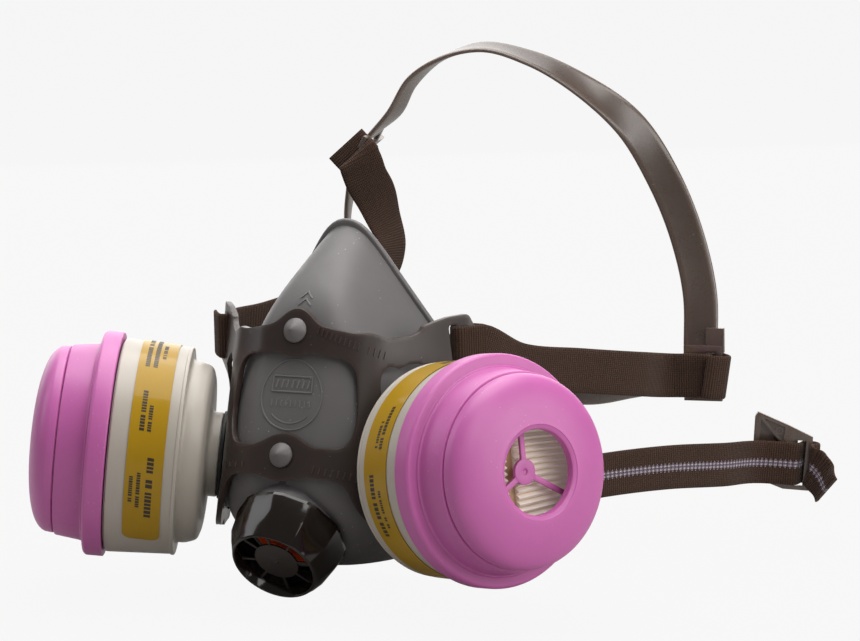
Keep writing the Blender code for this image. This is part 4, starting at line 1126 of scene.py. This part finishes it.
def ribbon(name, route, width, thickness, samples, mat, crown=0.0):
    """A flexible strip along (point, width direction) stations."""
    stops = [Vector(p) for p, _ in route]
    spans = [(b - a).length for a, b in zip(stops, stops[1:])]
    points = spline(stops, spans, samples)
    across = spline([Vector(w).normalized() for _, w in route], spans, samples)
    shape = section(width, thickness, crown)
    verts = []
    lengths = []
    sides = []
    travelled = 0.0
    count = len(points)
    for i in range(count):
        travelled += (points[i] - points[max(i - 1, 0)]).length
        along = (points[min(i + 1, count - 1)] - points[max(i - 1, 0)]).normalized()
        side = (across[i] - along * across[i].dot(along)).normalized()
        normal = along.cross(side)
        for s, t in shape:
            verts.append(points[i] + side * s + normal * t)
            lengths.append(travelled)
            sides.append(s)
    piece = add_piece(name, verts, sweep_faces(count, len(shape)), mat, 60)
    store(piece, "along", lengths)
    store(piece, "across", sides)
    return piece


def plate_frame(middle, along, up):
    """Frame with +X along a plate, +Y up it and +Z out of its face."""
    x_dir = Vector(along).normalized()
    z_dir = x_dir.cross(Vector(up)).normalized()
    return frame_of(middle, x_dir, z_dir.cross(x_dir), z_dir)


def slot_frame(side, height):
    """Frame of a yoke slot: +X towards the arm's end, +Z away from the face."""
    spots = former_points([SLOT_U, SLOT_U + 3.0], [height, height], YOKE_GAP + YOKE_THICKNESS / 2)
    here, ahead = (Vector(spot) for spot in spots)
    mirror = Vector((side, 1.0, 1.0))
    place = plate_frame(here * mirror, (ahead - here) * mirror, UP)
    if side < 0:
        place = place @ Matrix.Rotation(math.pi, 4, "X")
    return place


def stations(place, spots):
    across = place.to_3x3().col[1]
    if across.z < 0:
        across = -across
    return [(place @ Vector((a, 0.0, b)), across) for a, b in spots]


# Webbing through a slot: spots along the plate and out of its face, from the slot's middle.
RISE = YOKE_THICKNESS / 2 + 0.9 + STRAP_THICKNESS / 2
END_LOOP = ((12.5, 2.8), (8.6, RISE + 0.5), (5.0, RISE + 0.5), (1.2, RISE), (0.0, 0.0),
            (1.2, -RISE), (4.5, -RISE - 0.4), (9.0, -RISE - 0.4))
WRAP_LOOP = ((-15.0, RISE + 1.6), (-8.0, RISE + 0.7), (-1.5, RISE), (0.0, 0.0), (1.2, -RISE + 0.1))
WRAP_END = ((3.4, -RISE - 0.2), (5.8, -1.0), (5.8, 1.0), (3.8, RISE + 0.8), (0.8, 2 * RISE + 0.1),
            (-1.6, 2 * RISE + 0.5))
HOOK_END = ((3.6, -RISE - 0.2), (6.6, -1.0), (6.6, 1.0), (4.2, RISE + 0.9))

# Where the cradle's end plates and the two buckle halves lie.
CRADLE_RIGHT = plate_frame((109.4, 85.8, -0.8), (0.98, 0.16, 0.0), UP)
CRADLE_LEFT = plate_frame((-23.6, 48.1, 86.1), (-0.50, 0.0, -0.87), (0.07, 0.88, 0.43))
BUCKLE_HOOK = plate_frame((130.0, 126.5, -42.0), (0.90, 0.42, -0.10), (0.08, 0.0, 0.99))
BUCKLE_EYE = plate_frame((2.0, 88.0, -44.0), (0.66, 0.75, -0.06), UP)


def slot_cutter(place):
    low = (-SLOT_HALF_WIDTH, -SLOT_HALF, -6.0)
    high = (SLOT_HALF_WIDTH, SLOT_HALF, 6.0)
    return box("slot", low, high, place, CRADLE)


def plate_station(place, along, up, width_axis):
    return place @ Vector((along, up, 0.0)), place.to_3x3().col[width_axis]


def make_cradle():
    crown = [plate_station(CRADLE_RIGHT, -4.5, 8.0, 0),
             ((103.5, 89.0, 30.0), (0.90, 0.43, 0.10)), ((97.6, 91.0, 52.5), (0.82, 0.47, 0.32)),
             ((88.5, 89.7, 75.5), (0.76, 0.49, 0.43)), ((76.0, 85.8, 97.0), (0.46, 0.70, 0.54)),
             ((57.9, 78.5, 113.4), (-0.01, 0.89, 0.46)), ((40.0, 70.4, 124.0), (-0.26, 0.92, 0.29)),
             ((22.1, 63.0, 128.6), (-0.45, 0.88, 0.11)), ((8.5, 57.3, 124.6), (-0.44, 0.88, -0.12)),
             ((-3.0, 52.2, 115.2), (-0.22, 0.92, -0.28)), ((-9.6, 49.8, 103.4), (-0.06, 0.95, -0.12)),
             plate_station(CRADLE_LEFT, -10.0, 0.0, 1)]
    back = [plate_station(CRADLE_LEFT, -4.5, 16.2, 1),
            ((-31.0, 62.2, 84.0), (0.1, 0.8, 0.4)), ((-38.0, 66.0, 70.0), (-0.2, 0.90, 0.12)),
            ((-43.5, 72.5, 52.0), (-0.40, 0.88, 0.10)), ((-43.0, 88.5, 26.0), (-0.30, 0.70, 0.60)),
            ((-28.0, 112.0, 2.0), (-0.10, 0.45, 0.88)), ((-5.0, 129.0, -12.0), (0.0, 0.25, 0.97)),
            ((27.7, 134.1, -18.6), (0.0, 0.12, 0.99)), ((61.7, 119.6, -11.4), (0.06, 0.10, 0.99)),
            ((85.8, 101.6, -4.0), (0.06, 0.05, 0.99)), plate_station(CRADLE_RIGHT, -9.4, 2.0, 1)]
    put(ribbon("cradle_crown", crown, BAND_WIDTH, BAND_THICKNESS, 12, CRADLE, 0.25), "mask", "head_cradle")
    put(ribbon("cradle_back", back, BAND_WIDTH, BAND_THICKNESS, 12, CRADLE, 0.25), "mask")
    for name, place, slots in (("cradle_plate_R", CRADLE_RIGHT, (0.0,)),
                               ("cradle_plate_L", CRADLE_LEFT, (0.0, SECOND_SLOT))):
        plate = box(name, (-11.0, -10.4, -1.0), (PLATE_END, 11.6, 1.0), place, CRADLE)
        if name.endswith("R"):
            boolean(plate, box("tab", (-2.0, 9.0, -0.9), (5.2, 18.6, 0.9), place, CRADLE), "UNION")
        for slot in slots:
            boolean(plate, slot_cutter(place @ Matrix.Translation((slot, 0.0, 0.0))), "DIFFERENCE")
        bevel(plate, 0.5, 3)
        put(plate, "mask")


def make_upper_straps():
    right = stations(slot_frame(1, UPPER_ARM_Z), END_LOOP)
    right += [((61.6, 12.0, 11.8), UP), ((75.1, 36.6, 6.8), UP), ((89.5, 61.7, 2.2), (0.03, 0.0, 1.0))]
    right += stations(CRADLE_RIGHT, WRAP_LOOP)
    right += stations(spun(CRADLE_RIGHT, math.radians(-9)), WRAP_END)
    put(ribbon("upper_web_R", right, STRAP_WIDTH, STRAP_THICKNESS, 8, WEBBING), "mask", "upper_strap_R")
    left = stations(slot_frame(-1, UPPER_ARM_Z), END_LOOP)
    left += [((-50.0, 12.0, 22.5), UP), ((-39.0, 31.0, 26.0), (0.0, 0.3, 0.95)),
             ((-25.0, 42.0, 31.0), (0.0, 0.75, 0.66)), ((-14.1, 47.0, 38.7), (0.06, 0.97, -0.10)),
             ((-11.4, 48.5, 50.0), (0.16, 0.97, -0.06)), ((-14.5, 47.6, 62.0), (0.36, 0.92, 0.14)),
             ((-15.8, 44.2, 70.6), (0.60, 0.79, 0.14)), ((-17.1, 38.7, 78.3), (0.71, 0.63, 0.30)),
             ((-17.7, 35.8, 84.2), (0.71, 0.45, 0.53)), ((-18.1, 34.1, 87.3), (0.62, 0.43, 0.66)),
             ((-19.1, 34.7, 88.1), (0.60, 0.42, 0.68)), ((-18.9, 35.8, 86.9), (0.59, 0.42, 0.70)),
             ((-18.2, 36.9, 85.4), (0.57, 0.41, 0.71)), ((-18.4, 37.8, 85.1), (0.56, 0.41, 0.72)),
             ((-19.9, 37.7, 86.7), (0.55, 0.40, 0.73)), ((-22.3, 37.2, 89.2), (0.51, 0.39, 0.76)),
             ((-24.8, 36.6, 92.0), (0.50, 0.39, 0.78))]
    put(ribbon("upper_web_L", left, STRAP_WIDTH, STRAP_THICKNESS, 8, WEBBING), "mask", "upper_strap_L")


def make_buckles():
    outline = [(PLATE_END, -11.0), (PLATE_END, 11.0), (-5.6, 15.0), (-18.6, 19.6), (-19.6, 17.6),
               (-19.0, -7.0), (-6.0, -11.0)]
    hook = prism("buckle_hook", outline, -1.0, 1.0, BUCKLE_HOOK, CRADLE)
    gap = [(-7.4, 6.6), (-17.2, 16.6), (-17.2, -4.0), (-7.4, -7.6)]
    boolean(hook, prism("gap", gap, -0.2, 4.0, BUCKLE_HOOK, CRADLE), "DIFFERENCE")
    recess = [(-7.6, 8.6), (-16.0, 17.2), (-7.2, 14.2)]
    boolean(hook, prism("recess", recess, 0.3, 4.0, BUCKLE_HOOK, CRADLE), "DIFFERENCE")
    boolean(hook, slot_cutter(BUCKLE_HOOK), "DIFFERENCE")
    bevel(hook, 0.3, 2)
    put(hook, "mask", "neck_buckle_hook")
    dot = rounded([(1.1, 0.2), (1.6, 0.2), (1.6, 0.6), (1.1, 0.6)], 0.1)
    spot = BUCKLE_HOOK @ Matrix.Translation((-9.6, 12.4, 0.0))
    put(turned("buckle_pip", dot, spot, CRADLE, 28), "mask")
    eye = box("buckle_eye", (-4.6, -12.4, -1.0), (17.0, 12.4, 1.0), BUCKLE_EYE, CRADLE)
    boolean(eye, slot_cutter(BUCKLE_EYE), "DIFFERENCE")
    boolean(eye, box("window", (5.4, -8.4, -5.0), (13.4, 8.4, 5.0), BUCKLE_EYE, CRADLE), "DIFFERENCE")
    bevel(eye, 0.45, 3)
    put(eye, "mask", "neck_buckle_eye")


def make_neck_straps():
    right = stations(slot_frame(1, LOWER_ARM_Z), END_LOOP)
    right += [((70.0, 16.0, -35.0), UP), ((84.0, 38.0, -34.0), UP), ((99.0, 66.0, -35.0), UP),
              ((111.0, 93.0, -38.0), UP)]
    right += stations(BUCKLE_HOOK, WRAP_LOOP + HOOK_END)
    right += [(BUCKLE_HOOK @ Vector((6.2, -1.5, 5.6)), (0.1, 0.0, 0.99)),
              (BUCKLE_HOOK @ Vector((8.8, -4.6, 8.0)), (0.12, 0.0, 0.99)),
              (BUCKLE_HOOK @ Vector((10.6, -8.0, 11.0)), (0.15, 0.0, 0.98))]
    put(ribbon("neck_web_R", right, STRAP_WIDTH, STRAP_THICKNESS, 8, NECK_WEB), "mask", "neck_strap_R")
    left = stations(slot_frame(-1, LOWER_ARM_Z), END_LOOP)
    left += [((-50.0, 20.0, -38.0), UP), ((-36.0, 45.0, -40.0), UP)]
    tail = plate_frame(BUCKLE_EYE.to_translation(), -BUCKLE_EYE.to_3x3().col[0], UP)
    left += stations(tail, tuple(reversed(END_LOOP[1:])))
    put(ribbon("neck_web_L", left, STRAP_WIDTH, STRAP_THICKNESS, 8, NECK_WEB), "mask", "neck_strap_L")


# ========================================================== kept CAD nodes
KEPT = {"sorbent_bed": CHARCOAL, "bed_screen_back": SCREEN, "bed_screen_front": SCREEN,
        "inhalation_connector": PORT, "inhalation_valve": SILICONE, "exhalation_seat": PORT}


def finish_kept_nodes():
    for name, node in NODES.items():
        for start, mat in KEPT.items():
            if name.startswith(start):
                node.data.materials.clear()
                node.data.materials.append(mat)


# ============================================== camera, floor and the light
VIEW_TURN = math.radians(26.8)
VIEW_RISE = math.radians(8.8)
VIEW_ROLL = math.radians(-1.3)
VIEW_DISTANCE = 1.636
VIEW_SHIFT = (0.0429, 0.0534)
VIEW_TARGET = Vector((0.0, -0.04, -0.02))
LENS = 180.46
PALE = 0.93
FLOOR_COLOUR = (0.40, 0.39, 0.38, 1.0)
FLOOR_REACH = 14.0
FLOOR_DROP = 0.006


def make_camera():
    flat = math.cos(VIEW_RISE)
    back = Vector((math.sin(VIEW_TURN) * flat, -math.cos(VIEW_TURN) * flat, math.sin(VIEW_RISE)))
    right = Vector((math.cos(VIEW_TURN), math.sin(VIEW_TURN), 0.0))
    upright = back.cross(right)
    x_dir = right * math.cos(VIEW_ROLL) + upright * math.sin(VIEW_ROLL)
    y_dir = upright * math.cos(VIEW_ROLL) - right * math.sin(VIEW_ROLL)
    data = bpy.data.cameras.new("camera")
    data.sensor_width = 36.0
    data.lens = LENS
    data.clip_end = 60.0
    camera = add_object("camera", data)
    place = VIEW_TARGET + x_dir * VIEW_SHIFT[0] + y_dir * VIEW_SHIFT[1] + back * VIEW_DISTANCE
    camera.matrix_world = frame_of(place, x_dir, y_dir, back)
    bpy.context.scene.camera = camera


def mix_for_camera(tree, lit, seen, share, output):
    """Show one shader to the camera, by the given share, and the other to the light."""
    path = add_node(tree, "ShaderNodeLightPath")
    mix = add_node(tree, "ShaderNodeMixShader")
    tree.links.new(times(tree, path.outputs["Is Camera Ray"], share), mix.inputs[0])
    tree.links.new(lit.outputs[0], mix.inputs[1])
    tree.links.new(seen.outputs[0], mix.inputs[2])
    tree.links.new(mix.outputs[0], tree.nodes[output].inputs["Surface"])


def make_floor():
    """A wide pale floor, bright to the eye but only softly lit by the lamps."""
    height = CAD_LOW.z - FLOOR_DROP
    corners = [(x * FLOOR_REACH, y * FLOOR_REACH, height) for x, y in ((-1, -1), (1, -1), (1, 1), (-1, 1))]
    mesh = bpy.data.meshes.new("floor")
    mesh.from_pydata(corners, [], [(0, 1, 2, 3)])
    mat, tree, shader = start_material("floor_paint", Base_Color=FLOOR_COLOUR, Roughness=0.9,
                                       Specular_IOR_Level=0.0)
    glow = add_node(tree, "ShaderNodeEmission")
    glow.inputs["Strength"].default_value = PALE * 1.015
    mix_for_camera(tree, shader, glow, 0.97, "Material Output")
    mesh.materials.append(mat)
    add_object("floor", mesh)


def make_world():
    """Pale surroundings: bright where seen, and a soft fill everywhere else."""
    world = bpy.data.worlds.new("studio")
    bpy.context.scene.world = world
    world.use_nodes = True
    tree = world.node_tree
    fill = tree.nodes["Background"]
    fill.inputs["Color"].default_value = (1.0, 0.985, 0.97, 1.0)
    fill.inputs["Strength"].default_value = 0.17
    seen = add_node(tree, "ShaderNodeBackground")
    seen.inputs["Color"].default_value = (PALE, PALE, PALE, 1.0)
    mix_for_camera(tree, fill, seen, 1.0, "World Output")


# Softboxes: name, place, size, watts and tint.  All face the mask.
LAMPS = (
    ("lamp_top", (0.05, 0.10, 1.0), (1.2, 0.9), 14.0, (1.0, 0.985, 0.965)),
    ("lamp_right", (1.05, -0.55, 0.80), (0.7, 0.7), 5.0, (1.0, 0.98, 0.955)),
    ("lamp_side", (1.30, 0.10, 0.30), (0.9, 0.6), 6.5, (1.0, 0.98, 0.96)),
    ("lamp_left", (-1.1, -0.35, 0.65), (0.4, 0.9), 2.4, (0.97, 0.98, 1.0)),
    ("lamp_back", (-0.60, 1.15, 0.38), (2.0, 0.9), 11.0, (1.0, 0.985, 0.97)),
    ("lamp_high", (-0.35, 0.85, 1.10), (1.3, 0.8), 5.5, (1.0, 0.99, 0.98)),
)


def make_lamps():
    target = Vector((0.02, 0.0, 0.0))
    for name, place, size, watts, tint in LAMPS:
        data = bpy.data.lights.new(name, "AREA")
        data.shape = "RECTANGLE"
        data.size = size[0]
        data.size_y = size[1]
        data.energy = watts
        data.color = tint
        lamp = add_object(name, data)
        lamp.location = place
        lamp.rotation_euler = (target - Vector(place)).to_track_quat("-Z", "Y").to_euler()
        lamp.visible_camera = False


make_camera()
make_floor()
make_world()
make_lamps()
for mask_side, mask_tag in ((1, "R"), (-1, "L")):
    make_cartridge(mask_side, mask_tag)
make_facepiece()
make_yoke()
make_marks()
make_studs()
make_guard()
make_cradle()
make_upper_straps()
make_buckles()
make_neck_straps()
finish_kept_nodes()
bpy.context.scene.view_settings.view_transform = "Standard"
